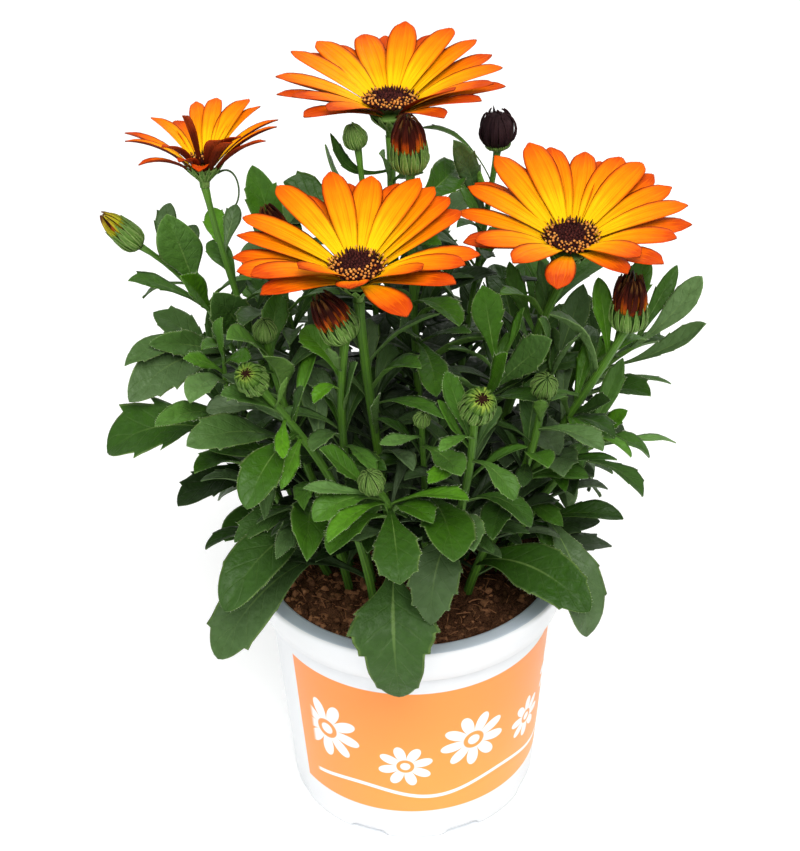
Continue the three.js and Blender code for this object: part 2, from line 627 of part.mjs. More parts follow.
/** The hub and rays of an open head, round +Z, with the crown of the disc at the origin. */
function raysSolid(head) {
  const { rays, hub, ray } = head;
  const hubRing = (k) => [hub, k ? BLOOM.hubTop : BLOOM.hubBottom];
  const parts = [ringStack(2, 12, hubRing, BLOOM.hubBottom, BLOOM.hubTop)];
  const riseOf = (i) => rays[(i + rays.length) % rays.length][1];
  rays.forEach(([azimuthDegrees, riseDegrees, reach], i) => {
    const azimuth = THREE.MathUtils.degToRad(azimuthDegrees);
    const rise = THREE.MathUtils.degToRad(riseDegrees);
    const outward = new THREE.Vector3(Math.cos(azimuth), Math.sin(azimuth), 0);
    const above = 2 * riseDegrees > riseOf(i - 1) + riseOf(i + 1);
    const layer = above ? BLOOM.layer : -BLOOM.layer;
    const root = outward.clone().multiplyScalar(BLOOM.rayRoot * hub).setZ(BLOOM.rayRootHeight + layer);
    const tip = outward.clone().multiplyScalar(reach * Math.cos(rise)).setZ(reach * Math.sin(rise));
    const frame = leafFrame(root, tip, 0, BLOOM.rayArch);
    parts.push(blade(frame, OUTLINE.ray, ray, BLOOM.rayThickness, 0.12, false));
  });
  return wasm.Manifold.union(parts);
}

/** The disc: a low dome of florets in relief, with its crown at the origin. */
function discSolid(radius) {
  const sides = 14;
  const profile = [[0.5, -0.9], [1, 0.9], [0.9, 1.7], [0.58, 1.5], [0.28, 1.6]];
  const ring = (k, j) => {
    const floret = k > 0 && (j + k) % 2 ? 0.75 : 0;
    return [radius * profile[k][0] * (k === 1 && j % 2 ? 0.93 : 1), profile[k][1] + floret];
  };
  return ringStack(profile.length, sides, ring, profile[0][1], 1.6);
}

// ---------------------------------------------------------------- pot and soil

function innerRadius(height) {
  const slope = (POT.shoulderRadius - POT.footRadius) / (POT.height - POT.rimBand);
  return POT.footRadius + slope * height - POT.wall;
}

/** A thin-walled pot: a tapered wall, a lip, and a skirt that hangs from the lip outside it. */
function potSolid() {
  const { height, rimRadius, rimBand, footRadius, shoulderRadius, wall, floor } = POT;
  const skirtFoot = height - rimBand;
  const outline = [
    [0, 0], [footRadius, 0], [shoulderRadius, skirtFoot + 0.4], [shoulderRadius + 0.4, skirtFoot + 5],
    [shoulderRadius + 1.6, skirtFoot + 5], [shoulderRadius + 1.9, skirtFoot], [rimRadius - 3.4, skirtFoot],
    [rimRadius, height - 1.8],
    [rimRadius - 1.2, height], [innerRadius(height) + 1.2, height - 0.5],
    [innerRadius(height), height - 2.2], [innerRadius(floor), floor], [0, floor],
  ];
  const points = outline.map(([r, z]) => new THREE.Vector2(r, z));
  const turned = new THREE.LatheGeometry(points, POT.sides).rotateX(Math.PI / 2);
  const cuts = [];
  for (let i = 0; i < POT.notches; i++) {
    const angle = (2 * Math.PI * (i + 0.5)) / POT.notches;
    const notch = new THREE.BoxGeometry(2 * POT.notchDepth, POT.notchWidth, 2 * POT.notchHeight);
    notch.translate(footRadius, 0, 0).rotateZ(angle);
    cuts.push(solidFromGeometry(notch));
    if (i % 2) {
      continue;
    }
    const drain = new THREE.CylinderGeometry(POT.drainRadius, POT.drainRadius, 3 * floor, 8);
    drain.rotateX(Math.PI / 2).translate(POT.drainCircle, 0, 0).rotateZ(angle);
    cuts.push(solidFromGeometry(drain));
  }
  return solidFromGeometry(turned).subtract(wasm.Manifold.union(cuts));
}

/** Soil that fills the pot, crumbly on top, with a plain hole for each stem. */
function soilSolid() {
  const inside = SOIL.top - 0.4;
  const radii = [innerRadius(POT.floor) - GAP, innerRadius(inside) - GAP, ...[...SOIL.rings].reverse()];
  const heights = [POT.floor + GAP, inside];
  const ring = (k, j) => {
    const crumb = SOIL.crumb * Math.sin(7.3 * j + 4.1 * k) * Math.sin(2.7 * j * k);
    return [radii[k], k < 2 ? heights[k] : SOIL.top + crumb];
  };
  const bed = ringStack(radii.length, SOIL.sides, ring, heights[0], SOIL.top);
  const holes = Object.values(SHOOTS).map((shoot) => {
    const hole = new THREE.CylinderGeometry(STEM.radius + 3 * GAP, STEM.radius + 3 * GAP, 40, 5);
    hole.rotateX(Math.PI / 2).translate(0, 0, 20);
    const curve = stemCurve(shoot);
    const [foot, next] = curve.getSpacedPoints(stemSteps(curve));
    const lean = next.clone().sub(foot).normalize();
    return place(solidFromGeometry(hole), lean, foot.addScaledVector(lean, -3 * GAP));
  });
  return bed.subtract(wasm.Manifold.union(holes));
}

// ---------------------------------------------------------------- materials

const finish = (color, roughness) => new THREE.MeshStandardMaterial({ color, roughness, metalness: 0 });
const MATERIAL = {
  pot: finish(0xf2f3f3, 0.25),
  soil: finish(0x3a2114, 0.95),
  foliage: finish(0x3d6b2c, 0.55),
  rays: finish(0xff8a10, 0.5),
  disc: finish(0x3b1c20, 0.7),
  bud_dark: finish(0x4a1410, 0.6),
  bud_spent: finish(0x1f1012, 0.8),
  bud_yellow: finish(0x9a8a3a, 0.6),
  bud_opening: finish(0x3a1512, 0.7),
};

// ---------------------------------------------------------------- assembly

const plant = new THREE.Group();

function add(name, solid, material) {
  plant.add(meshOf(name, solid, material));
}

/** The pieces of a shoot's head: what fuses with the stem, and what is a piece of its own. */
function headPieces(shoot) {
  const { head, top } = shoot;
  const foot = new THREE.Vector3(...top);
  if (!head) {
    return { fused: [], own: [] };
  }
  const axis = new THREE.Vector3(...head.axis).normalize();
  if (head.kind === 'green') {
    return { fused: [place(greenBudSolid(head.height, head.radius, 5), axis, foot)], own: [] };
  }
  if (head.kind === 'bud') {
    const seat = foot.clone().addScaledVector(axis, head.cup + GAP);
    const tuft = place(tuftSolid(head.tuft, head.radius, 6), axis, seat);
    const cup = place(cupSolid(head.cup, head.radius, 6), axis, foot);
    return { fused: [cup], own: [{ prefix: 'tuft', solid: tuft, material: MATERIAL[head.colour] }] };
  }
  const crown = foot.clone().addScaledVector(axis, head.depth);
  const cup = place(cupSolid(head.depth + BLOOM.cupTop, head.hub, 6), axis, foot);
  const own = [
    { prefix: 'rays', solid: place(raysSolid(head), axis, crown), material: MATERIAL.rays },
    { prefix: 'disc', solid: place(discSolid(head.disc), axis, crown), material: MATERIAL.disc },
  ];
  return { fused: [cup], own };
}

const pot = potSolid();
const soil = soilSolid();
register('pot', pot);
register('soil', soil);
add('pot', pot, MATERIAL.pot);
add('soil', soil, MATERIAL.soil);

// Stems and heads come first, so that the leaves can keep clear of all of them.
const shoots = Object.entries(SHOOTS).map(([name, shoot]) => {
  const curve = stemCurve(shoot);
  const { fused, own } = headPieces(shoot);
  const bare = wasm.Manifold.union([stemSolid(curve), ...fused]);
  register(name, bare);
  for (const piece of own) {
    register(`${piece.prefix}_${name}`, piece.solid);
    add(`${piece.prefix}_${name}`, piece.solid, piece.material);
  }
  return { name, shoot, curve, parts: [bare] };
});

/** Gives every shoot the leaves of its plan from number `from` to number `to`. */
function growLeaves(pick) {
  for (const { name, shoot, curve, parts } of shoots) {
    for (const { at, tip, width, roll, arch } of pick(leafPlan(shoot, curve), shoot.leaves.length)) {
      const leaf = clearLeaf(name, curve.getPoint(at), tip, width, roll, arch);
      if (leaf) {
        register(name, leaf);
        parts.push(leaf);
      }
    }
  }
}

growLeaves((plan, named) => plan.slice(0, named)); // the placed leaves
growLeaves((plan, named) => plan.slice(named)); // then the leaves that fill between them

for (const { name, parts } of shoots) {
  add(`shoot_${name}`.replace('shoot_shoot', 'shoot'), wasm.Manifold.union(parts), MATERIAL.foliage);
}

export default plant;
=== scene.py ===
# %% [markdown]
# # A potted osteospermum
#
# An osteospermum is a balcony daisy: leafy shoots stand in a nursery pot and carry orange
# flower heads and dark buds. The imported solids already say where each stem, leaf and ray is.
# This lesson keeps their places and gives them what solids can't have: toothed margins, veins,
# grooved rays, florets, crumbs and a printed pot. It works in millimetres and turns them into
# Blender's metres only when a mesh is made.

import math
import random

import bpy
import numpy as np
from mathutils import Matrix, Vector, noise
from mathutils.bvhtree import BVHTree
from mathutils.kdtree import KDTree


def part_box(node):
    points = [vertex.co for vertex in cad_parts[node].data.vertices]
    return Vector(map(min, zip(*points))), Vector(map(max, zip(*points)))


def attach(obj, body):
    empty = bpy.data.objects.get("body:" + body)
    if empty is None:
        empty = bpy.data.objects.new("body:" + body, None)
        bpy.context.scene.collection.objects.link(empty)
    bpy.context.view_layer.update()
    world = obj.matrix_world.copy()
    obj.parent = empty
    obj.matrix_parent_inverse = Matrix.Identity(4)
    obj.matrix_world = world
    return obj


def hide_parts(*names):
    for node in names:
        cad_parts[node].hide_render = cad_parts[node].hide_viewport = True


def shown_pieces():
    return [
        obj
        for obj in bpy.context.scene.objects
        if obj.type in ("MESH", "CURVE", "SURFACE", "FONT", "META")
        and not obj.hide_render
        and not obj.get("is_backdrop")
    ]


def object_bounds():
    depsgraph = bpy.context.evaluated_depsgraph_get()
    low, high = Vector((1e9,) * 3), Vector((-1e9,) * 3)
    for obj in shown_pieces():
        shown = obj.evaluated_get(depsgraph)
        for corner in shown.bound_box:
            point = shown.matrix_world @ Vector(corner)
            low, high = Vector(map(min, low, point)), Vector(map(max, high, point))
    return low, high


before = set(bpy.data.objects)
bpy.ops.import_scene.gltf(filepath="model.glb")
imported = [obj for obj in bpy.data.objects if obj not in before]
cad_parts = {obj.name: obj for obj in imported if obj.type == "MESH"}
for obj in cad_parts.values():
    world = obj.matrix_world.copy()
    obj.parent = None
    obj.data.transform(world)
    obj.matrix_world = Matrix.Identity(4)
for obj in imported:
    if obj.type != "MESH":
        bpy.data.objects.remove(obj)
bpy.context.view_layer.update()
MM = 0.001

# %% [markdown]
# The camera comes first. It stands 713 mm from the plant, 34 degrees above level, and is
# rolled by about a degree.
# A long lens keeps the pot from tapering too much.

# %% Camera
TARGET = Vector((-2.9, 0, 158.3)) * MM
ELEVATION = math.radians(34)
ROLL = math.radians(-1.13)
DISTANCE = 713 * MM

camera = bpy.data.objects.new("camera", bpy.data.cameras.new("camera"))
bpy.context.scene.collection.objects.link(camera)
camera.data.lens = 84.6
camera.data.sensor_width = 36
camera.location = TARGET + DISTANCE * Vector((0, -math.cos(ELEVATION), math.sin(ELEVATION)))
facing = (TARGET - camera.location).to_track_quat("-Z", "Y")
camera.rotation_euler = facing.to_euler()
camera.rotation_euler.rotate_axis("Z", ROLL)
bpy.context.scene.camera = camera
print("camera at", [round(value / MM) for value in camera.location], "mm")

# %% [markdown]
# A nursery portrait has a white sweep and large soft lamps, so the shadows stay light. One big
# lamp hangs above the front, and a second one fills from the left. The world is a pale grey
# that lifts the shadows between the leaves. Blender's Standard view keeps the orange pure,
# where a filmic curve would dull it.

# %% Floor and light
scene = bpy.context.scene
scene.view_settings.view_transform = "Standard"


def soft_lamp(name, place, size, watts, tint):
    """A square lamp that faces the middle of the plant."""
    lamp = bpy.data.objects.new(name, bpy.data.lights.new(name, "AREA"))
    scene.collection.objects.link(lamp)
    lamp.data.size = size
    lamp.data.energy = watts
    lamp.data.color = tint
    lamp.location = place
    lamp.rotation_euler = (Vector((0, 0, 0.15)) - lamp.location).to_track_quat("-Z", "Y").to_euler()
    return lamp


soft_lamp("lamp_above", (0.1, -0.75, 1.2), 0.7, 17, (1, 0.99, 0.97))
soft_lamp("lamp_left", (-1.1, -0.6, 0.9), 0.9, 4, (0.97, 0.98, 1))
soft_lamp("lamp_back", (0.5, 1.1, 0.9), 0.8, 5, (1, 1, 1))

world = bpy.data.worlds.new("studio")
world.use_nodes = True
world.node_tree.nodes["Background"].inputs["Color"].default_value = (0.98, 0.99, 1, 1)
world.node_tree.nodes["Background"].inputs["Strength"].default_value = 0.5
scene.world = world

# %% [markdown]
# Shader trees are quicker to read as sums than as lists of links. `Board` wraps a node tree:
# each method adds one node, wires its inputs and hands back its output, so a mask is written
# in one line.

# %% A board for shader nodes
class Board:
    """Adds nodes to one tree, and wires each as it is added."""

    def __init__(self, tree):
        self.tree = tree

    def node(self, kind, **settings):
        node = self.tree.nodes.new(kind)
        for name, value in settings.items():
            setattr(node, name, value)
        return node

    def feed(self, socket, value):
        """Links a socket to a source, or sets the socket's own value."""
        if isinstance(value, bpy.types.NodeSocket):
            self.tree.links.new(value, socket)
        else:
            socket.default_value = (*value, 1) if socket.type == "RGBA" else value

    def math(self, operation, *values):
        node = self.node("ShaderNodeMath", operation=operation)
        for socket, value in zip(node.inputs, values):
            self.feed(socket, value)
        return node.outputs[0]

    def times(self, first, second):
        return self.math("MULTIPLY", first, second)

    def line(self, value, slope, start):
        """The straight line slope * value + start."""
        return self.math("MULTIPLY_ADD", value, slope, start)

    def off_middle(self, u):
        """0 on a blade's midrib and 1 at its margins."""
        return self.math("ABSOLUTE", self.line(u, 2.0, -1.0))

    def ease(self, value, start, end, low=0.0, high=1.0):
        """Eases from low to high while value goes from start to end."""
        node = self.node("ShaderNodeMapRange", interpolation_type="SMOOTHSTEP")
        names = ("Value", "From Min", "From Max", "To Min", "To Max")
        for name, given in zip(names, (value, start, end, low, high)):
            self.feed(node.inputs[name], given)
        return node.outputs["Result"]

    def tint(self, share, first, second, kind="MIX"):
        """Mixes two colours, or multiplies, screens or overlays the second on the first."""
        node = self.node("ShaderNodeMix", data_type="RGBA", blend_type=kind)
        for index, given in zip((0, 6, 7), (share, first, second)):
            self.feed(node.inputs[index], given)
        return node.outputs[2]

    def noise(self, vector, scale, detail=2.0):
        node = self.node("ShaderNodeTexNoise")
        for name, given in (("Vector", vector), ("Scale", scale), ("Detail", detail)):
            self.feed(node.inputs[name], given)
        return node.outputs[0]

    def flat(self, layer):
        """The two coordinates of a UV layer."""
        split = self.node("ShaderNodeSeparateXYZ")
        self.feed(split.inputs[0], self.node("ShaderNodeUVMap", uv_map=layer).outputs[0])
        return split.outputs[0], split.outputs[1]

    def vector(self, *values):
        node = self.node("ShaderNodeCombineXYZ")
        for socket, value in zip(node.inputs, values):
            self.feed(socket, value)
        return node.outputs[0]

    def place(self):
        """The point in the object, in metres."""
        return self.node("ShaderNodeTexCoord").outputs["Object"]

    def attribute(self, name):
        return self.node("ShaderNodeAttribute", attribute_name=name).outputs["Fac"]

    def use(self, group, **values):
        """Places a group, feeds its inputs by name and returns its outputs."""
        node = self.node("ShaderNodeGroup", node_tree=group)
        for name, value in values.items():
            self.feed(node.inputs[name.replace("_", " ")], value)
        return node.outputs


def effect(name, inputs, outputs):
    """An empty node group with named sockets: its board, its inputs and its output node."""
    tree = bpy.data.node_groups.new(name, "ShaderNodeTree")
    for label, kind in inputs:
        tree.interface.new_socket(name=label, in_out="INPUT", socket_type="NodeSocket" + kind)
    for label, kind in outputs:
        tree.interface.new_socket(name=label, in_out="OUTPUT", socket_type="NodeSocket" + kind)
    board = Board(tree)
    return board, board.node("NodeGroupInput").outputs, board.node("NodeGroupOutput").inputs


def finish_material(name):
    """A new material, its board and its Principled shader."""
    material = bpy.data.materials.new(name)
    material.use_nodes = True
    return material, Board(material.node_tree), material.node_tree.nodes["Principled BSDF"]


def coat(board, shader, colour, roughness, shine=0.5):
    """Feeds a colour and a roughness to a shader. shine is how much light its surface mirrors."""
    board.feed(shader.inputs["Base Color"], colour)
    board.feed(shader.inputs["Roughness"], roughness)
    shader.inputs["Specular IOR Level"].default_value = shine


def emboss(board, shader, height, distance, strength):
    """Feeds a height through a Bump node to a shader's normal."""
    bump = board.node("ShaderNodeBump")
    bump.inputs["Strength"].default_value = strength
    bump.inputs["Distance"].default_value = distance
    board.feed(bump.inputs["Height"], height)
    board.feed(shader.inputs["Normal"], bump.outputs[0])


print("board ready")

# %% [markdown]
# Three effects recur on the plant. Mottle is the soft unevenness of living tissue: two noises,
# one broad and one fine. Veins are drawn from a blade's own coordinates, where u runs from
# margin to margin and v from root to tip: a midrib, slanting side veins and a pale margin.
# Streaks are the fine lines that run the length of a ray or a stem. Each is a node group, so
# that every finish can use it with values of its own.

# %% Mottle, veins and streaks
board, given, out = effect(
    "mottle", [("Point", "Vector"), ("Scale", "Float")], [("Broad", "Float"), ("Fine", "Float")]
)
board.feed(out[0], board.ease(board.noise(given[0], given[1], 3.0), 0.32, 0.68))
fine_scale = board.times(given[1], 6.5)
board.feed(out[1], board.ease(board.noise(given[0], fine_scale, 4.0), 0.3, 0.7))
MOTTLE = board.tree

board, given, out = effect(
    "veins",
    [("U", "Float"), ("V", "Float"), ("Pairs", "Float"), ("Rib", "Float")],
    [("Midrib", "Float"), ("Side Veins", "Float"), ("Margin", "Float")],
)
across = board.off_middle(given[0])
rib_width = board.times(given[3], board.line(given[1], -0.75, 1.0))
board.feed(out[0], board.ease(board.math("DIVIDE", across, rib_width), 1.0, 0.35))
slant = board.times(board.math("POWER", across, 0.8), 0.22)
rank = board.times(board.math("SUBTRACT", given[1], slant), given[2])
ridge = board.math("PINGPONG", rank, 0.5)
lines = board.ease(ridge, 0.1, 0.0)
board.feed(out[1], board.times(lines, board.ease(across, 0.92, 0.5)))
board.feed(out[2], board.ease(across, 0.9, 0.985))
VEINS = board.tree

board, given, out = effect(
    "streaks", [("U", "Float"), ("V", "Float"), ("Count", "Float")], [("Streaks", "Float")]
)
u_run = board.times(given[0], given[2])
stretched = board.vector(u_run, board.times(given[1], 1.6), 0.0)
board.feed(out[0], board.ease(board.noise(stretched, 1.0, 2.0), 0.33, 0.67))
STREAKS = board.tree
print("effects:", [group.name for group in bpy.data.node_groups])

# %% [markdown]
# A leaf of this plant is a little fleshy and matt. Its upper face is a deep green with paler
# veins, and young leaves are a brighter yellow-green. The underside is greyer, with a raised
# midrib. The margin is a thin pale line. Two materials share one recipe, and the mesh brings
# `tone`, which is 0 on a leaf painted in deep shade, about a third on an old leaf and 1 on a
# young one. Each leaf is painted darker towards its root, as painted shade among the stems,
# and a pale grey cast on some leaves also stands in for a painted sheen.

# %% Leaf and stem finishes
def leaf_finish(name, deep, old, young, bloom, vein, roughness):
    """A leaf's finish, from painted deep shade to young. bloom is the grey-blue cast on some leaves, which
    also stands in for a painted sheen.
    """
    material, board, shader = finish_material(name)
    u, v = board.flat("blade")
    tone = board.attribute("tone")
    soft = board.use(MOTTLE, Point=board.place(), Scale=55.0)
    marks = board.use(VEINS, U=u, V=v, Pairs=7.5, Rib=0.09)
    # Painted shade: deep is the near-black green of leaves deep inside the plant, where tone is 0.
    colour = board.tint(board.ease(tone, 0.0, 0.35), deep, old)
    colour = board.tint(board.ease(tone, 0.3, 1.0), colour, young)
    # Grey cast and painted sheen: a leaf's share mixes in the pale bloom colour, which also stands in for the
    # sheen on its surface.
    grey_and_sheen_share = board.line(soft[0], 0.05, board.times(board.attribute("grey_and_sheen"), 0.75))
    colour = board.tint(grey_and_sheen_share, colour, bloom)
    colour = board.tint(board.times(soft[1], 0.3), colour, (0.34, 0.42, 0.2), "MULTIPLY")
    # Painted shade: every leaf is darker towards its root, among the stems.
    foot = board.ease(v, 0.35, 0.0, 0.0, 0.5)
    colour = board.tint(foot, colour, (0.3, 0.34, 0.25), "MULTIPLY")
    fade = board.ease(tone, 0.0, 0.4, 0.25, 1.0)
    rib = board.times(board.ease(v, 0.85, 0.4, 0.05, 0.42), fade)
    colour = board.tint(board.times(marks[1], board.times(fade, 0.045)), colour, vein)
    colour = board.tint(board.times(marks[0], rib), colour, vein)
    colour = board.tint(board.times(marks[2], board.times(fade, 0.6)), colour, vein)
    coat(board, shader, colour, board.line(soft[1], 0.16, roughness), 0.16)
    relief = board.line(marks[1], -0.4, board.times(soft[1], 0.7))
    emboss(board, shader, relief, 0.4 * MM, 0.8)
    return material


# The first colour of each finish is painted deep shade. The fourth is a grey cast that also stands in for a
# painted sheen.
LEAF_UPPER = leaf_finish(
    "leaf_upper", (0.0055, 0.018, 0.001), (0.023, 0.073, 0.0035), (0.085, 0.25, 0.005),
    (0.17, 0.24, 0.13), (0.22, 0.34, 0.09), 0.38,
)
LEAF_UNDER = leaf_finish(
    "leaf_under", (0.012, 0.03, 0.005), (0.062, 0.13, 0.024), (0.11, 0.25, 0.014),
    (0.16, 0.23, 0.12), (0.25, 0.36, 0.13), 0.58,
)


def stem_finish(name, shade, light, count):
    """A ribbed green skin: u runs round the stem and v along it."""
    material, board, shader = finish_material(name)
    u, v = board.flat("blade")
    soft = board.use(MOTTLE, Point=board.place(), Scale=90.0)
    lines = board.use(STREAKS, U=u, V=v, Count=count)
    colour = board.tint(lines[0], shade, light)
    colour = board.tint(board.times(board.attribute("tone"), 0.55), colour, light)
    colour = board.tint(board.times(soft[0], 0.3), colour, (0.05, 0.1, 0.03))
    coat(board, shader, colour, board.line(soft[1], 0.2, 0.42), 0.2)
    emboss(board, shader, lines[0], 0.3 * MM, 0.7)
    return material


def bract_finish(name, middle, margin):
    """A bract is green along its middle and pale at its thin margins."""
    material, board, shader = finish_material(name)
    u, v = board.flat("blade")
    soft = board.use(MOTTLE, Point=board.place(), Scale=160.0)
    lines = board.use(STREAKS, U=u, V=v, Count=5.0)
    across = board.off_middle(u)
    pale = board.times(board.ease(across, 0.3, 1.0), board.line(board.attribute("tone"), 0.5, 0.35))
    colour = board.tint(pale, middle, margin)
    colour = board.tint(board.times(lines[0], 0.35), colour, margin)
    colour = board.tint(board.times(soft[1], 0.3), colour, (0.4, 0.45, 0.35), "MULTIPLY")
    coat(board, shader, colour, board.line(soft[0], 0.2, 0.5), 0.1)
    emboss(board, shader, lines[0], 0.25 * MM, 0.7)
    return material


STEM_SKIN = stem_finish("stem_skin", (0.03, 0.085, 0.008), (0.1, 0.235, 0.02), 16.0)
BRACT_SKIN = bract_finish("bract_skin", (0.045, 0.13, 0.008), (0.34, 0.48, 0.15))
CUP_CORE = bract_finish("cup_core", (0.016, 0.045, 0.005), (0.05, 0.1, 0.02))

BRISTLE, board, shader = finish_material("margin_hairs")
soft = board.use(MOTTLE, Point=board.place(), Scale=300.0)
coat(board, shader, board.tint(soft[0], (0.34, 0.45, 0.24), (0.62, 0.68, 0.5)), board.line(soft[1], 0.2, 0.5))
print("greens:", [m.name for m in (LEAF_UPPER, LEAF_UNDER, STEM_SKIN, BRACT_SKIN, CUP_CORE, BRISTLE)])

# %% [markdown]
# A ray, the daisy's "petal", goes from yellow at its root through orange to red-orange at its
# tip and along its edges, with fine lines of the deeper colour. Its underside is bronze-brown.
# A colour ramp along v gives the run, and streaks break it up. Rolled rays in a bud show the
# same underside, so they share the function.

# %% Ray finishes
def ray_finish(name, stops, edge, line, edge_share, roughness):
    """stops are (place, colour) from root to tip; edge and line are the deeper colours."""
    material, board, shader = finish_material(name)
    u, v = board.flat("blade")
    tone = board.attribute("tone")
    ramp = board.node("ShaderNodeValToRGB")
    ramp.color_ramp.interpolation = "EASE"
    marks = ramp.color_ramp.elements
    while len(marks) < len(stops):
        marks.new(0.5)
    for mark, (place, colour) in zip(marks, stops):
        mark.position = place
        mark.color = (*colour, 1)
    soft = board.use(MOTTLE, Point=board.place(), Scale=60.0)
    lines = board.use(STREAKS, U=u, V=v, Count=17.0)
    run = board.math("ADD", v, board.line(lines[0], 0.09, -0.045))
    # A higher tone shifts the whole run towards the red tip. Rays at a head's front use it as painted shade.
    run = board.math("ADD", run, board.line(tone, 0.5, -0.25))
    board.feed(ramp.inputs[0], run)
    across = board.off_middle(u)
    rim = board.times(board.ease(across, 0.66, 1.0), board.ease(v, 0.1, 0.7))
    colour = board.tint(board.times(rim, edge_share), ramp.outputs[0], edge)
    nerve = board.ease(board.math("ABSOLUTE", board.math("SUBTRACT", across, 0.35)), 0.075, 0.0, 0.0, 0.5)
    grain = board.line(board.ease(lines[0], 0.6, 1.0), 0.16, nerve)
    colour = board.tint(board.times(grain, board.ease(v, 0.08, 0.4)), colour, line)
    colour = board.tint(board.times(soft[0], 0.12), colour, edge)
    coat(board, shader, colour, board.line(soft[1], 0.15, roughness), 0.05)
    emboss(board, shader, lines[0], 0.25 * MM, 0.55)
    return material


RAY_UPPER = ray_finish(
    "ray_upper",
    [(0.0, (1, 0.58, 0.003)), (0.24, (1, 0.5, 0.002)), (0.46, (1, 0.34, 0.001)),
     (0.72, (1, 0.22, 0.001)), (0.9, (0.86, 0.13, 0.002)), (1.0, (0.58, 0.055, 0.002))],
    (0.55, 0.045, 0.002), (0.78, 0.13, 0.001), 0.88, 0.5,
)
RAY_UNDER = ray_finish(
    "ray_under",
    [(0.0, (0.08, 0.04, 0.01)), (0.3, (0.055, 0.008, 0.003)), (0.75, (0.1, 0.012, 0.004)),
     (1.0, (0.3, 0.035, 0.005))],
    (0.45, 0.05, 0.004), (0.02, 0.003, 0.003), 0.6, 0.5,
)
BUD_DARK = ray_finish(
    "bud_rays_dark",
    [(0.0, (0.5, 0.13, 0.005)), (0.2, (0.34, 0.05, 0.004)), (0.36, (0.07, 0.01, 0.004)),
     (0.8, (0.03, 0.005, 0.003)), (1.0, (0.12, 0.05, 0.012))],
    (0.016, 0.003, 0.003), (0.008, 0.002, 0.002), 0.85, 0.36,
)
BUD_CORE = ray_finish(
    "bud_core",
    [(0.0, (0.6, 0.2, 0.008)), (0.26, (0.3, 0.06, 0.006)), (0.45, (0.02, 0.004, 0.003)),
     (1.0, (0.01, 0.003, 0.003))],
    (0.1, 0.02, 0.004), (0.05, 0.008, 0.003), 0.4, 0.5,
)
BUD_SPENT = ray_finish(
    "bud_rays_spent",
    [(0.0, (0.03, 0.018, 0.014)), (0.5, (0.02, 0.009, 0.012)), (1.0, (0.035, 0.018, 0.02))],
    (0.06, 0.03, 0.03), (0.006, 0.004, 0.005), 0.4, 0.6,
)
BUD_YELLOW = ray_finish(
    "bud_rays_yellow",
    [(0.0, (0.1, 0.18, 0.01)), (0.35, (0.42, 0.42, 0.015)), (0.75, (0.5, 0.38, 0.02)),
     (1.0, (0.16, 0.05, 0.02))],
    (0.06, 0.012, 0.008), (0.09, 0.03, 0.01), 0.9, 0.45,
)
BUD_LIME = ray_finish(
    "bud_rays_lime",
    [(0.0, (0.04, 0.11, 0.012)), (0.5, (0.1, 0.2, 0.03)), (1.0, (0.36, 0.48, 0.07))],
    (0.035, 0.085, 0.008), (0.05, 0.09, 0.01), 0.6, 0.5,
)
print("rays and buds:", [m.name for m in bpy.data.materials if "ray" in m.name])

# %% [markdown]
# The disc in the middle of a head is packed with dark florets, and the open ones carry golden
# pollen. Both finishes are plain colours that vary by floret, through `tone`, and by a fine
# noise.

# %% Floret finishes
def grain_finish(name, dark, light, roughness, scale, depth):
    """A finish for many small bodies: tone picks the colour of each, and noise varies it."""
    material, board, shader = finish_material(name)
    soft = board.use(MOTTLE, Point=board.place(), Scale=scale)
    share = board.math("ADD", board.times(board.attribute("tone"), 0.7), board.times(soft[1], 0.3))
    coat(board, shader, board.tint(share, dark, light), board.line(soft[0], 0.2, roughness), 0.08)
    emboss(board, shader, soft[1], depth * MM, 0.8)
    return material


FLORET = grain_finish("floret_dark", (0.012, 0.004, 0.005), (0.12, 0.026, 0.02), 0.6, 400.0, 0.3)
POLLEN = grain_finish("pollen", (0.5, 0.12, 0.012), (1, 0.5, 0.12), 0.6, 900.0, 0.2)
EYE = grain_finish("bud_eye", (0.012, 0.005, 0.003), (0.08, 0.026, 0.012), 0.6, 500.0, 0.3)
SOIL = grain_finish("soil_crumb", (0.021, 0.006, 0.003), (0.66, 0.3, 0.14), 0.85, 420.0, 1.2)
print("grains:", [m.name for m in (FLORET, POLLEN, EYE, SOIL)])

# %% [markdown]
# The plant's own measures come next, and they are the ones that its solids were made from. A
# shoot's stem is a cubic Bezier curve. A leaf is [place along the stem, tip x, y, z, width,
# turn to the front in degrees, arch]. `fill` is [count, from, to, length, azimuth] of further
# leaves. A bloom's rays are [azimuth, rise, reach].

# %% The plant's measures
# The height where stems start, the way that leaves turn to, the angle from one leaf to the
# next, how far `fill` leaves swing round their azimuth, and how deep a blade is folded.
STEM_FOOT = 82
FRONT = np.array([0, -0.83, 0.56])
GOLDEN_ANGLE = 137.5
FILL_SPREAD = 105
FOLD = 0.22

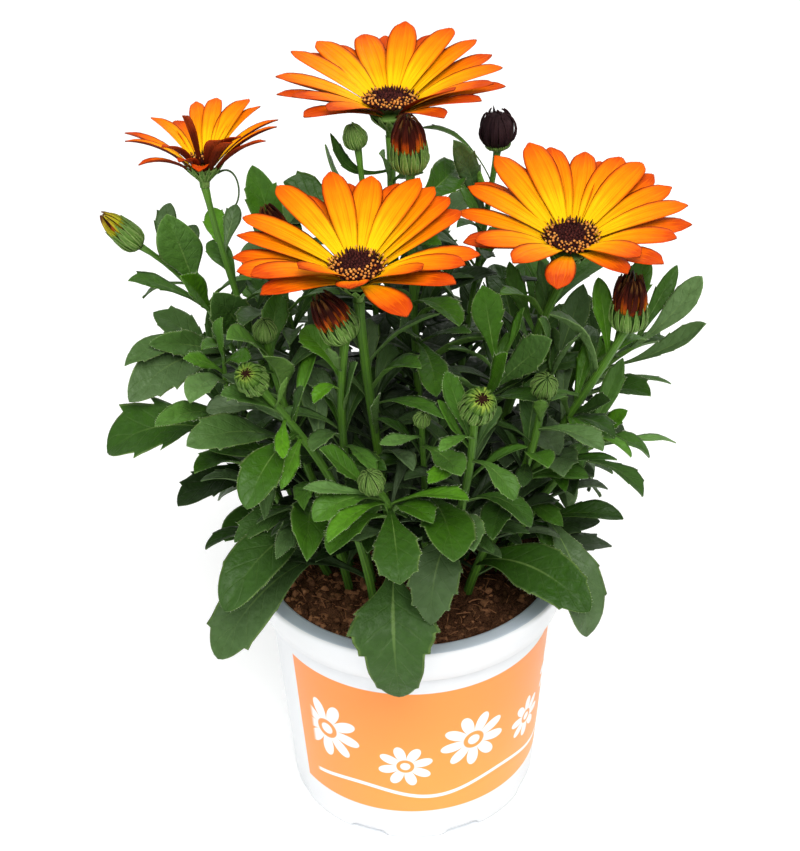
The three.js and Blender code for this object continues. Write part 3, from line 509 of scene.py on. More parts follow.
SHOOTS = {
    "bloom_front": dict(
        stem=[(-5, -17), (-7, -15, 141), (-13, -47, 191), (-15, -54, 242)],
        head=dict(kind="bloom", axis=(0, -0.087, 0.996), depth=12.5, hub=7, disc=8, ray=5.3, rays=[
            (353, 10, 38), (33, 9, 39), (41, 13, 39), (50, 15, 39), (58, 18, 39), (70, 11, 39), (83, 13, 39),
            (94, 9, 39), (103, 17, 39), (118, 7, 39), (132, 19, 39), (158, 15, 39), (170, 12, 38),
            (182, 8, 38), (197, 10, 38), (212, 17, 38), (221, 12, 38), (230, 24, 29), (266, 16, 24),
            (293, 9, 38), (314, 20, 30), (324, 12, 37), (338, 15, 36)]),
        leaves=[(0.59, -10, -58, 209, 6, 60, 0), (0.69, 12, -66, 202, 6, 0, 4)],
        fill=(2, 0.35, 0.6, 46, 200)),
    "bloom_right": dict(
        stem=[(17, 0), (25, -7, 134), (37, -5, 185), (54, -15, 230)],
        head=dict(kind="bloom", axis=(0, -0.156, 0.988), depth=12.5, hub=7, disc=8.6, ray=5.3, rays=[
            (356, 9, 39), (6, 14, 39), (27, 10, 39), (41, 9, 39), (48, 13, 39), (60, 12, 39), (71, 6, 39),
            (79, 11, 39), (97, 14, 39), (109, 20, 39), (120, 9, 38), (130, 19, 39), (144, 10, 38),
            (153, 14, 38), (172, 11, 38), (195, 10, 37), (204, 16, 36), (230, 17, 33), (258, 9, 34),
            (297, 14, 34), (308, 20, 33), (316, 13, 38), (337, 15, 36)]),
        leaves=[(0.15, 55, -36, 114, 8, 0, 5), (0.38, 71, -10, 135, 17, 0, 4), (0.8, 50, -6, 227, 9, 60, 0)],
        fill=(3, 0.3, 0.75, 48, 30)),
    "bloom_rear": dict(
        stem=[(-1, 9), (0, 11, 144), (-5, 12, 208), (-4, 12, 266)],
        head=dict(kind="bloom", axis=(0, 0.035, 0.999), depth=12.5, hub=7, disc=8.3, ray=5.3, rays=[
            (353, 9, 38), (5, 15, 38), (27, 13, 39), (39, 17, 39), (55, 20, 39), (65, 14, 39), (81, 20, 39),
            (92, 11, 39), (103, 13, 39), (120, 10, 39), (130, 15, 39), (139, 10, 39), (150, 15, 39),
            (166, 8, 38), (180, 14, 38), (194, 10, 38), (207, 14, 36), (222, 9, 37), (234, 14, 34),
            (300, 10, 34), (316, 19, 30), (325, 13, 36), (338, 17, 37)]),
        leaves=[(0.9, -7, 2, 265, 6, 50, 0), (0.84, -24, 0, 268, 6, 30, -6)],
        fill=(3, 0.35, 0.8, 46, 100)),
    "bloom_left": dict(
        stem=[(-17, -3), (-35, -4, 141), (-56, -8, 198), (-65, -6, 258)],
        head=dict(kind="bloom", axis=(0, 0.309, 0.951), depth=8.5, hub=5, disc=4.8, ray=3, rays=[
            (2, 25, 26), (20, 26, 28), (44, 34, 29), (58, 36, 31), (84, 36, 31), (99, 33, 31), (115, 24, 28),
            (131, 24, 31), (160, 18, 29), (178, 18, 26), (205, 5, 22), (225, 24, 18), (244, 10, 15),
            (258, 43, 26), (268, -4, 13), (290, 26, 22), (303, 24, 21), (318, 31, 20), (340, 19, 23)]),
        leaves=[(0.65, -62, -26, 228, 14, 60, 0), (0.78, -67, 2, 233, 9, 50, 4),
                (0.84, -65, 8, 243, 14, 80, 0), (0.86, -56, 4, 246, 6, 80, 0)],
        fill=(2, 0.35, 0.6, 48, 200)),
    "bud_left": dict(
        stem=[(-26, 6), (-54, 9, 125), (-49, 17, 193), (-91, 10, 228)],
        head=dict(kind="bud", axis=(-0.68, 0, 0.73), cup=9, tuft=10, radius=5.4, colour="bud_yellow"),
        leaves=[(0.6, -94, -26, 188, 17, 30, 10), (0.64, -86, -14, 203, 9, 50, 3),
                (0.68, -95, -20, 200, 11, 30, 4), (0.73, -74, -14, 229, 9, 40, 0),
                (0.78, -93, -4, 223, 8, 30, 2), (0.82, -79, 0, 244, 15, 70, 0), (0.86, -92, 14, 205, 9, 0, 2),
                (0.9, -72, 20, 230, 9, 60, 0), (0.94, -80, 17, 240, 8, 60, 0)],
        fill=(2, 0.28, 0.52, 46, 150)),
    "head_spent": dict(
        stem=[(11, 11), (14, 18, 141), (23, 20, 197), (32, 20, 256)],
        head=dict(kind="bud", axis=(-0.08, 0, 1), cup=4, tuft=12.5, radius=5.8, colour="bud_spent"),
        leaves=[(0.6, 11, -30, 237, 10, 60, 0), (0.85, 17, -2, 270, 8, 80, 0), (0.89, 25, 8, 256, 5, 40, -4)],
        fill=(3, 0.35, 0.8, 46, 70)),
    "bud_striped": dict(
        stem=[(3, -5), (7, -10, 143), (1, -12, 212), (2, -18, 268)],
        head=dict(kind="bud", axis=(-0.04, 0, 1), cup=9.5, tuft=11.5, radius=6.2, colour="bud_dark"),
        leaves=[(0.62, 21, -30, 215, 6, 0, 2), (0.63, -2, -34, 219, 10, 0, 2), (0.63, 9, -52, 205, 10, 0, 3),
                (0.92, 22, 10, 255, 12, 60, 0)],
        fill=(2, 0.45, 0.8, 38, 60)),
    "bud_under_front": dict(
        stem=[(-12, -13), (-19, -12, 135), (-25, -52, 179), (-20, -60, 229)],
        head=dict(kind="bud", axis=(-0.3, 0, 0.95), cup=8, tuft=11, radius=6.3, colour="bud_dark"),
        leaves=[(0.69, -35, -62, 189, 10, 0, 4), (0.77, -35, -40, 207, 12, 20, 4),
                (0.79, -17, -60, 223, 8, 60, 0), (0.87, -30, -66, 212, 9, 10, 3),
                (0.9, -34, -44, 226, 10, 30, 3)],
        fill=(2, 0.3, 0.6, 42, 190)),
    "bud_dark_right": dict(
        stem=[(19, -10), (34, -9, 133), (54, -28, 176), (72, -34, 218)],
        head=dict(kind="bud", axis=(0, 0, 1), cup=8.5, tuft=12, radius=6, colour="bud_dark"),
        leaves=[(0.66, 69, -40, 179, 8, 0, 4), (0.69, 67, -34, 190, 10, 30, 0), (0.88, 80, -22, 206, 8, 0, 4),
                (0.9, 63, -22, 230, 7, 80, 0), (0.92, 80, -14, 234, 9, -80, 0)],
        fill=(2, 0.3, 0.6, 46, 10)),
    "bud_green_left": dict(
        stem=[(-21, -16), (-24, -24, 133), (-40, -40, 178), (-45, -50, 226)],
        head=dict(kind="green", axis=(0, -0.15, 0.99), height=9.5, radius=4.7),
        leaves=[(0.26, -68, -62, 104, 20, 10, 12), (0.39, -60, -50, 146, 10, 10, 6),
                (0.41, -44, -74, 157, 8, 10, 5), (0.33, -63, -72, 134, 19, 10, 12),
                (0.44, -33, -84, 166, 13, 10, 6), (0.64, -71, -62, 195, 14, 15, 5),
                (0.8, -45, -60, 226, 12, 20, 3), (0.94, -56, -60, 233, 9, 30, 2),
                (0.93, -41, -34, 234, 9, 50, 0)],
        fill=(1, 0.5, 0.7, 38, 120)),
    "bud_opening_left": dict(
        stem=[(-13, -24), (-13, -41, 131), (-24, -47, 178), (-47, -70, 219)],
        head=dict(kind="bud", axis=(-0.3, -0.4, 0.87), cup=8, tuft=3, radius=5.4, colour="bud_opening"),
        leaves=[(0.82, -51, -92, 191, 13, -20, 4), (0.86, -33, -66, 218, 6, 60, 0),
                (0.9, -58, -72, 220, 8, 20, 2)],
        fill=(1, 0.4, 0.7, 36, 60)),
    "bud_opening_front": dict(
        stem=[(9, -25), (12, -35, 126), (19, -57, 165), (21, -70, 207)],
        head=dict(kind="bud", axis=(0.1, -0.3, 0.95), cup=9, tuft=3, radius=6.2, colour="bud_opening"),
        leaves=[(0.54, 6, -76, 129, 17, -20, 10), (0.65, 40, -66, 162, 14, 0, 6),
                (0.84, 33, -80, 183, 15, 0, 4), (0.9, 12, -60, 219, 7, 80, 0)],
        fill=(2, 0.3, 0.7, 36, 20)),
    "bud_green_right": dict(
        stem=[(18, -19), (22, -24, 124), (40, -46, 159), (44, -50, 201)],
        head=dict(kind="green", axis=(0, -0.15, 0.99), height=9.5, radius=4.9),
        leaves=[(0.3, 61, -58, 119, 19, 0, 12), (0.9, 62, -66, 192, 9, 0, 3)],
        fill=(3, 0.35, 0.85, 38, 350)),
    "bud_low_front": dict(
        stem=[(-3, -28), (-13, -48, 112), (2, -49, 159), (-12, -76, 184)],
        head=dict(kind="green", axis=(-0.1, -0.3, 0.95), height=9.5, radius=4.6),
        leaves=[(0.5, -5, -78, 99, 29, 0, 14), (0.76, -26, -88, 169, 11, 0, 5), (0.79, 7, -82, 177, 10, 0, 4),
                (0.82, -4, -104, 170, 15, 0, 5), (0.85, 18, -84, 187, 7, 0, 2),
                (0.87, -26, -98, 183, 7, 10, 3), (0.9, -31, -84, 180, 12, 10, 4),
                (0.94, -28, -72, 199, 10, 20, 0)],
        fill=(0, 0, 0, 0, 0)),
    "bud_small": dict(
        stem=[(4, -19), (6, -24, 124), (5, -38, 163), (4, -60, 199)],
        head=dict(kind="green", axis=(0.1, -0.2, 0.97), height=6.5, radius=3.2),
        leaves=[(0.6, 29, -86, 170, 17, 0, 5), (0.88, 16, -76, 191, 10, 10, 1)],
        fill=(2, 0.5, 0.85, 30, 190)),
    "bud_hidden": dict(
        stem=[(-15, 6), (-14, 13, 140), (-47, -8, 189), (-39, -18, 242)],
        head=dict(kind="bud", axis=(-0.4, 0.1, 0.91), cup=6, tuft=9, radius=4.2, colour="bud_dark"),
        leaves=[(0.9, -49, -8, 266, 11, 70, 0)],
        fill=(3, 0.35, 0.85, 44, 160)),
    "bud_high": dict(
        stem=[(-7, 1), (-10, 3, 144), (-8, 3, 205), (-15, 1, 262)],
        head=dict(kind="green", axis=(-0.25, -0.1, 0.96), height=8, radius=3.8),
        leaves=[(0.88, -40, 6, 253, 13, 40, 0), (0.89, -19, -8, 259, 5, 40, 0)],
        fill=(2, 0.45, 0.8, 40, 170)),
    "right": dict(
        stem=[(27, 4), (45, 7, 114), (43, 4, 166), (83, 12, 183)],
        leaves=[(0.61, 66, 4, 125, 12, 0, 6), (0.82, 93, 0, 175, 4, 0, 1), (0.88, 104, 4, 196, 11, -30, 3),
                (0.93, 103, 14, 209, 12, -40, 2), (0.97, 96, 24, 208, 8, -70, 0)],
        fill=(2, 0.4, 0.8, 44, 60)),
    "left": dict(
        stem=[(-26, -8), (-34, -12, 126), (-64, -27, 160), (-61, -26, 205)],
        leaves=[(0.5, -48, -60, 164, 9, 20, 8), (0.58, -71, -50, 176, 9, 10, 4),
                (0.7, -103, -34, 174, 23, 15, 8), (0.81, -82, -52, 196, 8, 40, 3),
                (0.92, -71, -48, 202, 11, 20, 4), (0.97, -61, -30, 222, 7, 60, 0)],
        fill=(2, 0.25, 0.55, 46, 170)),
    "low_right": dict(
        stem=[(26, -7), (37, -11, 110), (45, -15, 142), (66, -20, 164)],
        leaves=[(0.47, 47, -38, 128, 8, 0, 5), (0.58, 64, -54, 105, 17, 0, 13), (0.75, 63, 10, 112, 9, 0, 6),
                (0.87, 82, -26, 144, 9, 0, 4), (0.92, 74, -10, 191, 7, 80, 0), (0.93, 84, -22, 158, 12, 0, 6),
                (0.95, 95, -8, 156, 6, 0, 1), (0.96, 54, -44, 168, 8, 30, 3)],
        fill=(1, 0.3, 0.6, 42, 0)),
    "centre": dict(
        stem=[(11, -12), (13, -18, 125), (19, -24, 167), (32, -32, 208)],
        leaves=[(0.8, 31, -58, 224, 7, 70, 0), (0.85, 46, -44, 220, 12, -60, 0),
                (0.94, 25, -28, 231, 11, 80, 0)],
        fill=(2, 0.45, 0.9, 38, 60)),
    "mid_right": dict(
        stem=[(25, -2), (31, -5, 121), (38, -9, 160), (53, -14, 196)],
        leaves=[(0.88, 56, -36, 218, 5, 20, 0), (0.91, 44, -34, 222, 8, 85, 0),
                (0.94, 60, -6, 218, 10, 80, 0)],
        fill=(3, 0.35, 0.9, 42, 10)),
    "back": dict(
        stem=[(0, 27), (1, 42, 122), (3, 53, 163), (4, 62, 205)],
        head=dict(kind="green", axis=(0, 0.2, 0.98), height=9.5, radius=4.8),
        leaves=[(0.4, -20, 66, 108, 18, 0, 10), (0.55, 6, 104, 158, 19, 0, 8)],
        fill=(5, 0.2, 0.95, 52, 90)),
    "back_left": dict(
        stem=[(-18, 20), (-28, 34, 122), (-41, 42, 163), (-54, 46, 205)],
        leaves=[(0.35, -58, 66, 106, 18, 0, 10)],
        fill=(5, 0.2, 0.95, 52, 130)),
    "back_right": dict(
        stem=[(20, 18), (30, 32, 122), (43, 40, 163), (56, 44, 205)],
        head=dict(kind="green", axis=(0.2, 0.1, 0.97), height=9, radius=4.6),
        leaves=[(0.35, 60, 62, 108, 18, 0, 10)],
        fill=(5, 0.2, 0.95, 52, 50)),
    "low_back_left": dict(
        stem=[(-12, 27), (-20, 41, 110), (-27, 58, 137), (-34, 80, 160)],
        leaves=[(0.5, -66, 82, 138, 16, 0, 8)],
        fill=(4, 0.35, 0.97, 46, 120)),
    "low_back_right": dict(
        stem=[(12, 26), (19, 41, 110), (27, 59, 137), (36, 80, 160)],
        leaves=[(0.5, 24, 100, 122, 17, 0, 10)],
        fill=(4, 0.35, 0.97, 46, 60)),
    "far_left": dict(
        stem=[(-25, 14), (-39, 23, 112), (-56, 30, 139), (-76, 36, 165)],
        leaves=[(0.3, -74, 30, 106, 19, 0, 10)],
        fill=(4, 0.25, 0.97, 46, 165)),
    "far_right": dict(
        stem=[(27, 12), (35, 23, 112), (51, 30, 138), (76, 34, 160)],
        leaves=[(0.35, 74, 26, 107, 19, 0, 10)],
        fill=(4, 0.25, 0.97, 46, 15)),
}
print("shoots:", len(SHOOTS), "leaves placed by hand:", sum(len(s["leaves"]) for s in SHOOTS.values()))

# %% [markdown]
# Small vector helpers keep the later cells short. `turned` swings vectors round an axis, and
# `natural_lie` is the way that a blade lies: its chord, its level side and its upward normal.

# %% Vectors and curves
def unit(vector):
    vector = np.asarray(vector, float)
    return vector / np.linalg.norm(vector, axis=-1, keepdims=True)


def turned(vector, axis, angle):
    """A vector turned round a unit axis; axis and angle may be arrays."""
    angle = np.expand_dims(np.asarray(angle, float), -1)
    along = np.sum(axis * vector, -1, keepdims=True)
    swept = vector * np.cos(angle) + np.cross(axis, vector) * np.sin(angle)
    return swept + axis * along * (1 - np.cos(angle))


def curve_points(corners, t):
    """Points on a Bezier curve of any degree."""
    t = np.atleast_1d(np.asarray(t, float))[:, None]
    points = [np.asarray(corner, float)[None, :] for corner in corners]
    while len(points) > 1:
        points = [a * (1 - t) + b * t for a, b in zip(points, points[1:])]
    return points[0]


def curve_headings(corners, t):
    """Unit tangents of a Bezier curve."""
    corners = np.asarray(corners, float)
    return unit(curve_points(corners[1:] - corners[:-1], t))


def stem_corners(shoot):
    root, lean1, lean2, top = shoot["stem"]
    return [(*root, STEM_FOOT), lean1, lean2, top]


def natural_lie(root, tip):
    """The chord, level side and upward normal of a blade from root to tip."""
    chord = unit(tip - root)
    side = unit(np.cross((0, 0, 1), chord))
    return chord, side, np.cross(chord, side)


def roll_to_front(root, tip, degrees):
    """The roll that turns a blade's upper face to the front, by so many degrees at most."""
    chord, _, normal = natural_lie(root, tip)
    front = unit(FRONT - chord * FRONT.dot(chord))
    whole = math.atan2(np.cross(normal, front).dot(chord), normal.dot(front))
    most = math.radians(abs(degrees))
    return max(-most, min(most, whole))


print("heading of the front stem at its top:", curve_headings(stem_corners(SHOOTS["bloom_front"]), 1.0)[0])

# %% [markdown]
# All soft parts of the plant are made as closed bodies and gathered by `Growth`, which turns
# them into one mesh with one UV layer, `blade`, and two attributes: `tone`, and a leaf's share
# of grey cast and painted sheen. Gathering first and building once is much faster than
# joining hundreds of objects.

# %% Gathering bodies into a mesh
class Growth:
    """Closed bodies in millimetres, on their way to being one Blender object."""

    def __init__(self, *materials):
        self.materials = materials
        self.points, self.uvs, self.tones, self.greys, self.faces, self.skins = [], [], [], [], [], []
        self.count = 0

    def add(self, points, faces, uvs, tone, skins, grey_and_sheen=0.0):
        """skins is one material for the whole body, or one for each face."""
        self.points.append(points)
        self.uvs.append(uvs)
        self.tones.append(np.full(len(points), tone) if np.isscalar(tone) else tone)
        self.greys.append(np.full(len(points), grey_and_sheen))
        self.faces.extend([tuple(int(v) + self.count for v in face) for face in faces])
        one = not isinstance(skins, (list, tuple))
        self.skins.extend([self.materials.index(s) for s in ([skins] * len(faces) if one else skins)])
        self.count += len(points)

    def make(self, name, slot, *replaced):
        """Makes the object, lets it ride on the part's body, and hides the solids that it replaces."""
        mesh = bpy.data.meshes.new(name)
        mesh.from_pydata((np.concatenate(self.points) * MM).tolist(), [], self.faces)
        for material in self.materials:
            mesh.materials.append(material)
        mesh.polygons.foreach_set("material_index", self.skins)
        mesh.polygons.foreach_set("use_smooth", [True] * len(mesh.polygons))
        corners = np.zeros(len(mesh.loops), np.int32)
        mesh.loops.foreach_get("vertex_index", corners)
        layer = mesh.uv_layers.new(name="blade")
        layer.data.foreach_set("uv", np.concatenate(self.uvs)[corners].astype(np.float32).ravel())
        for label, values in (("tone", self.tones), ("grey_and_sheen", self.greys)):
            attribute = mesh.attributes.new(label, "FLOAT", "POINT")
            attribute.data.foreach_set("value", np.concatenate(values).astype(np.float32))
        mesh.update()
        piece = bpy.data.objects.new(name, mesh)
        scene.collection.objects.link(piece)
        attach(piece, "root")
        if replaced:
            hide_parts(*replaced)
        return piece


def grid_faces(rows, columns):
    """The quads of a grid of points, as an array of corner numbers."""
    corner = np.arange(rows - 1)[:, None] * columns + np.arange(columns - 1)[None, :]
    corner = corner.ravel()
    return np.stack([corner, corner + columns, corner + columns + 1, corner + 1], 1)


print("quads in a grid of 3 by 4 points:", len(grid_faces(3, 4)))

# %% [markdown]
# A leaf, a bract and a ray are all blades: a thin sheet along a curve, with an upper and a
# lower face that meet at the margin. Building both faces from one grid keeps the body closed,
# and the lower face can have its own material. Tubes and turned bodies are rings of points.

# %% Blades, tubes and turned bodies
def blade_body(centre, side, normal, reach, columns, height, thickness, push=None):
    """
    A closed blade. reach is the (left, right) half width at each station, and height and
    thickness are arrays of stations by columns. push moves points on along the blade.
    """
    rows, wide = len(centre), len(columns)
    left, right = reach
    lateral = np.where(columns[None, :] < 0, left[:, None], right[:, None]) * columns[None, :]
    sheet = centre[:, None, :] + side[:, None, :] * lateral[..., None]
    if push is not None:
        sheet = sheet + push
    upper = sheet + normal[:, None, :] * (height + thickness / 2)[..., None]
    lower = sheet + normal[:, None, :] * (height - thickness / 2)[..., None]
    points = np.concatenate([upper.reshape(-1, 3), lower[:, 1:-1].reshape(-1, 3)])
    number = np.arange(rows * wide).reshape(rows, wide)
    under = number.copy()
    under[:, 1:-1] = rows * wide + np.arange(rows * (wide - 2)).reshape(rows, wide - 2)
    top = np.stack([number[:-1, :-1], number[1:, :-1], number[1:, 1:], number[:-1, 1:]], -1)
    bottom = np.stack([under[:-1, :-1], under[:-1, 1:], under[1:, 1:], under[1:, :-1]], -1)
    faces = top.reshape(-1, 4).tolist() + bottom.reshape(-1, 4).tolist()
    for row, order in ((0, 1), (rows - 1, -1)):
        for j in range(wide - 1):
            loop = [number[row, j], number[row, j + 1], under[row, j + 1], under[row, j]]
            loop = list(dict.fromkeys(loop))[::order]
            faces.append(loop)
    stations = np.linspace(0, 1, rows)
    u = np.tile((columns + 1) / 2, (rows, 1))
    v = np.tile(stations[:, None], (1, wide))
    uv = np.stack([u, v], -1)
    uvs = np.concatenate([uv.reshape(-1, 2), uv[:, 1:-1].reshape(-1, 2)])
    return points, faces, uvs, len(top.reshape(-1, 4))


def drum(rings, foot, tip):
    """A closed body over rings of points, with a fan of faces at its foot and at its tip."""
    rows, sides = rings.shape[:2]
    number = np.arange(rows * sides).reshape(rows, sides)
    turn = np.roll(number, -1, axis=1)
    faces = np.stack([number[:-1], turn[:-1], turn[1:], number[1:]], -1).reshape(-1, 4).tolist()
    faces += [[rows * sides, turn[0, j], number[0, j]] for j in range(sides)]
    faces += [[rows * sides + 1, number[-1, j], turn[-1, j]] for j in range(sides)]
    uv = np.stack(np.meshgrid(np.arange(sides) / sides, np.linspace(0, 1, rows)), -1).reshape(-1, 2)
    points = np.concatenate([rings.reshape(-1, 3), [foot], [tip]])
    return points, faces, np.concatenate([uv, [[0.5, 0], [0.5, 1]]])


def tube_body(points, headings, radii, sides, ribs=0.0):
    """A closed tube along points; every other side is drawn in by the share `ribs`."""
    reference = unit(np.cross(headings, (0.31, 0.95, 0.02)))
    other = np.cross(headings, reference)
    angle = 2 * np.pi * np.arange(sides) / sides
    rib = 1 - ribs * (np.arange(sides) % 2)
    ring = reference[:, None] * np.cos(angle)[None, :, None] + other[:, None] * np.sin(angle)[None, :, None]
    return drum(points[:, None] + ring * (radii[:, None] * rib[None, :])[..., None], points[0], points[-1])


def frame_of(axis):
    """Two level directions square to an axis: the first is nearest to +X."""
    axis = unit(axis)
    first = unit(np.array([1.0, 0, 0]) - axis * axis[0])
    return first, np.cross(axis, first), axis


def seated(points, axis, origin):
    """Points made round +Z at the origin, stood on an axis at a place."""
    first, second, up = frame_of(axis)
    return points[:, :1] * first + points[:, 1:2] * second + points[:, 2:] * up + np.asarray(origin)


print("a drum of 4 rings of 6 points has", len(drum(np.zeros((4, 6, 3)), (0, 0, 0), (0, 0, 1))[1]), "faces")

# %% [markdown]
# The leaves are spoon-shaped: a narrow foot, the widest part two thirds along, a rounded tip,
# and up to four coarse teeth on either side that point forward. A tooth is a slow rise and a
# sudden drop in the half width, with the margin pushed on towards the tip. The blade is
# grooved along its midrib, keeled below, and its margins wave a little. Leaves near the viewer
# also carry short pale hairs on their margins, each a closed spike with four faces.

# %% Growing a leaf
def half_width(s, widest, neck, point, teeth):
    """The half width along a margin, as a share, and how far its teeth push on."""
    grow = neck + (1 - neck) * np.sin(0.5 * np.pi * np.clip(s / widest, 0, 1) ** 1.9) ** 1.35
    past = np.clip((s - widest) / (1 - widest), 0, 1)
    outline = grow * np.maximum(1 - past ** (2.3 - 0.6 * point), 0.003) ** (0.62 + 0.38 * point)
    push = np.zeros_like(s)
    for place, length, size in teeth:
        stops = [place - length, place - 0.3 * length, place, place + 0.02, place + 0.06, place + 0.15]
        outline = outline + np.interp(s, stops, [0, 0.3 * size, size, -0.25 * size, -0.3 * size, 0])
        push = push + np.interp(s, stops[1:4], [0, 0.2 * size, 0])
    return np.maximum(outline, 0.03), push


COLUMNS = {
    "toothed": np.array([-1, -0.86, -0.6, -0.3, -0.08, 0, 0.08, 0.3, 0.6, 0.86, 1]),
    "plain": np.array([-1, -0.8, -0.42, -0.1, 0, 0.1, 0.42, 0.8, 1]),
    "small": np.array([-1, -0.6, -0.14, 0, 0.14, 0.6, 1]),
}


# Single leaves with a shape of their own: a tooth is [place, length, size]. The broadest leaf
# has a waist, and its last lobe is narrower.
LEAF_SHAPES = {
    ("bud_low_front", 0): dict(
        widest=0.46, point=0.0, lobe=0.76, waist=0.56,
        teeth=[(0.36, 0.2, 0.12), (0.5, 0.1, 0.1), (0.63, 0.08, 0.1), (0.9, 0.05, 0.04)]),
    ("left", 2): dict(widest=0.7, point=0.0, teeth=[(0.36, 0.14, 0.42), (0.6, 0.15, 0.3), (0.8, 0.12, 0.2)]),
    ("low_right", 1): dict(widest=0.62, point=0.3, teeth=[(at, 0.1, 0.07) for at in (0.4, 0.56, 0.74)]),
    ("bud_green_left", 0): dict(widest=0.66, point=0.0, teeth=[(0.6, 0.05, 0.04), (0.86, 0.08, 0.1)]),
    ("bud_green_left", 3): dict(widest=0.66, point=0.0, teeth=[(0.8, 0.05, 0.03)]),
    ("bud_green_right", 0): dict(
        widest=0.5, point=0.0, neck=0.32, teeth=[(0.6, 0.06, 0.05), (0.84, 0.08, 0.07)]),
    ("bud_low_front", 3): dict(
        widest=0.78, point=0.1, neck=0.1, teeth=[(0.66, 0.06, 0.1), (0.8, 0.06, 0.08), (0.92, 0.05, 0.1)]),
    ("bud_opening_front", 0): dict(widest=0.55, point=0.4, teeth=[(at, 0.1, 0.1) for at in (0.5, 0.7, 0.84)]),
    ("bud_left", 5): dict(widest=0.62, point=0.15, teeth=[]),
    ("right", 2): dict(
        widest=0.74, point=0.1, neck=0.09, teeth=[(0.5, 0.12, 0.12), (0.64, 0.06, 0.1), (0.8, 0.05, 0.04)]),
    ("right", 3): dict(widest=0.74, point=0.0, neck=0.09, teeth=[(0.8, 0.05, 0.03)]),
}

# Stations along the blade, the share of its width at the foot, and its teeth's size and places.
KINDS = {
    "toothed": (24, 0.12, 0.1, (0.48, 0.61, 0.74, 0.86)),
    "plain": (18, 0.15, 0.11, (0.56, 0.71, 0.85)),
    "small": (12, 0.22, 0.14, (0.66, 0.84)),
}


def leaf_kind(width):
    if width >= 14:
        return "toothed"
    return "plain" if width > 8.5 else "small"


def leaf_teeth(kind, draw):
    """The teeth of one margin, of which about a third are missing."""
    _, _, size, places = KINDS[kind]
    teeth = []
    for place in places:
        if draw.random() < 0.62:
            teeth.append((place + draw.uniform(-0.04, 0.04), 0.09, size * draw.uniform(0.4, 1.4)))
    return teeth


def add_bristles(growth, feet, ways, draw):
    """A closed spike on each margin point: four corners, four faces."""
    count = len(feet)
    ways = unit(ways + np.array([[draw.uniform(-0.3, 0.3) for _ in range(3)] for _ in range(count)]))
    long = np.array([draw.uniform(0.25, 0.65) for _ in range(count)])[:, None]
    first = unit(np.cross(ways, (0.3, 0.2, 0.9))) * 0.065
    second = np.cross(ways, first)
    back = feet - ways * 0.15
    off = back - first * 0.5
    corners = [back + first, off + second * 0.87, off - second * 0.87, feet + ways * long]
    points = np.stack(corners, 1).reshape(-1, 3)
    faces = np.array([[0, 1, 2], [0, 3, 1], [1, 3, 2], [2, 3, 0]])[None] + 4 * np.arange(count)[:, None, None]
    growth.add(points, faces.reshape(-1, 3).tolist(), np.full((len(points), 2), 0.5), 0.5, BRISTLE)


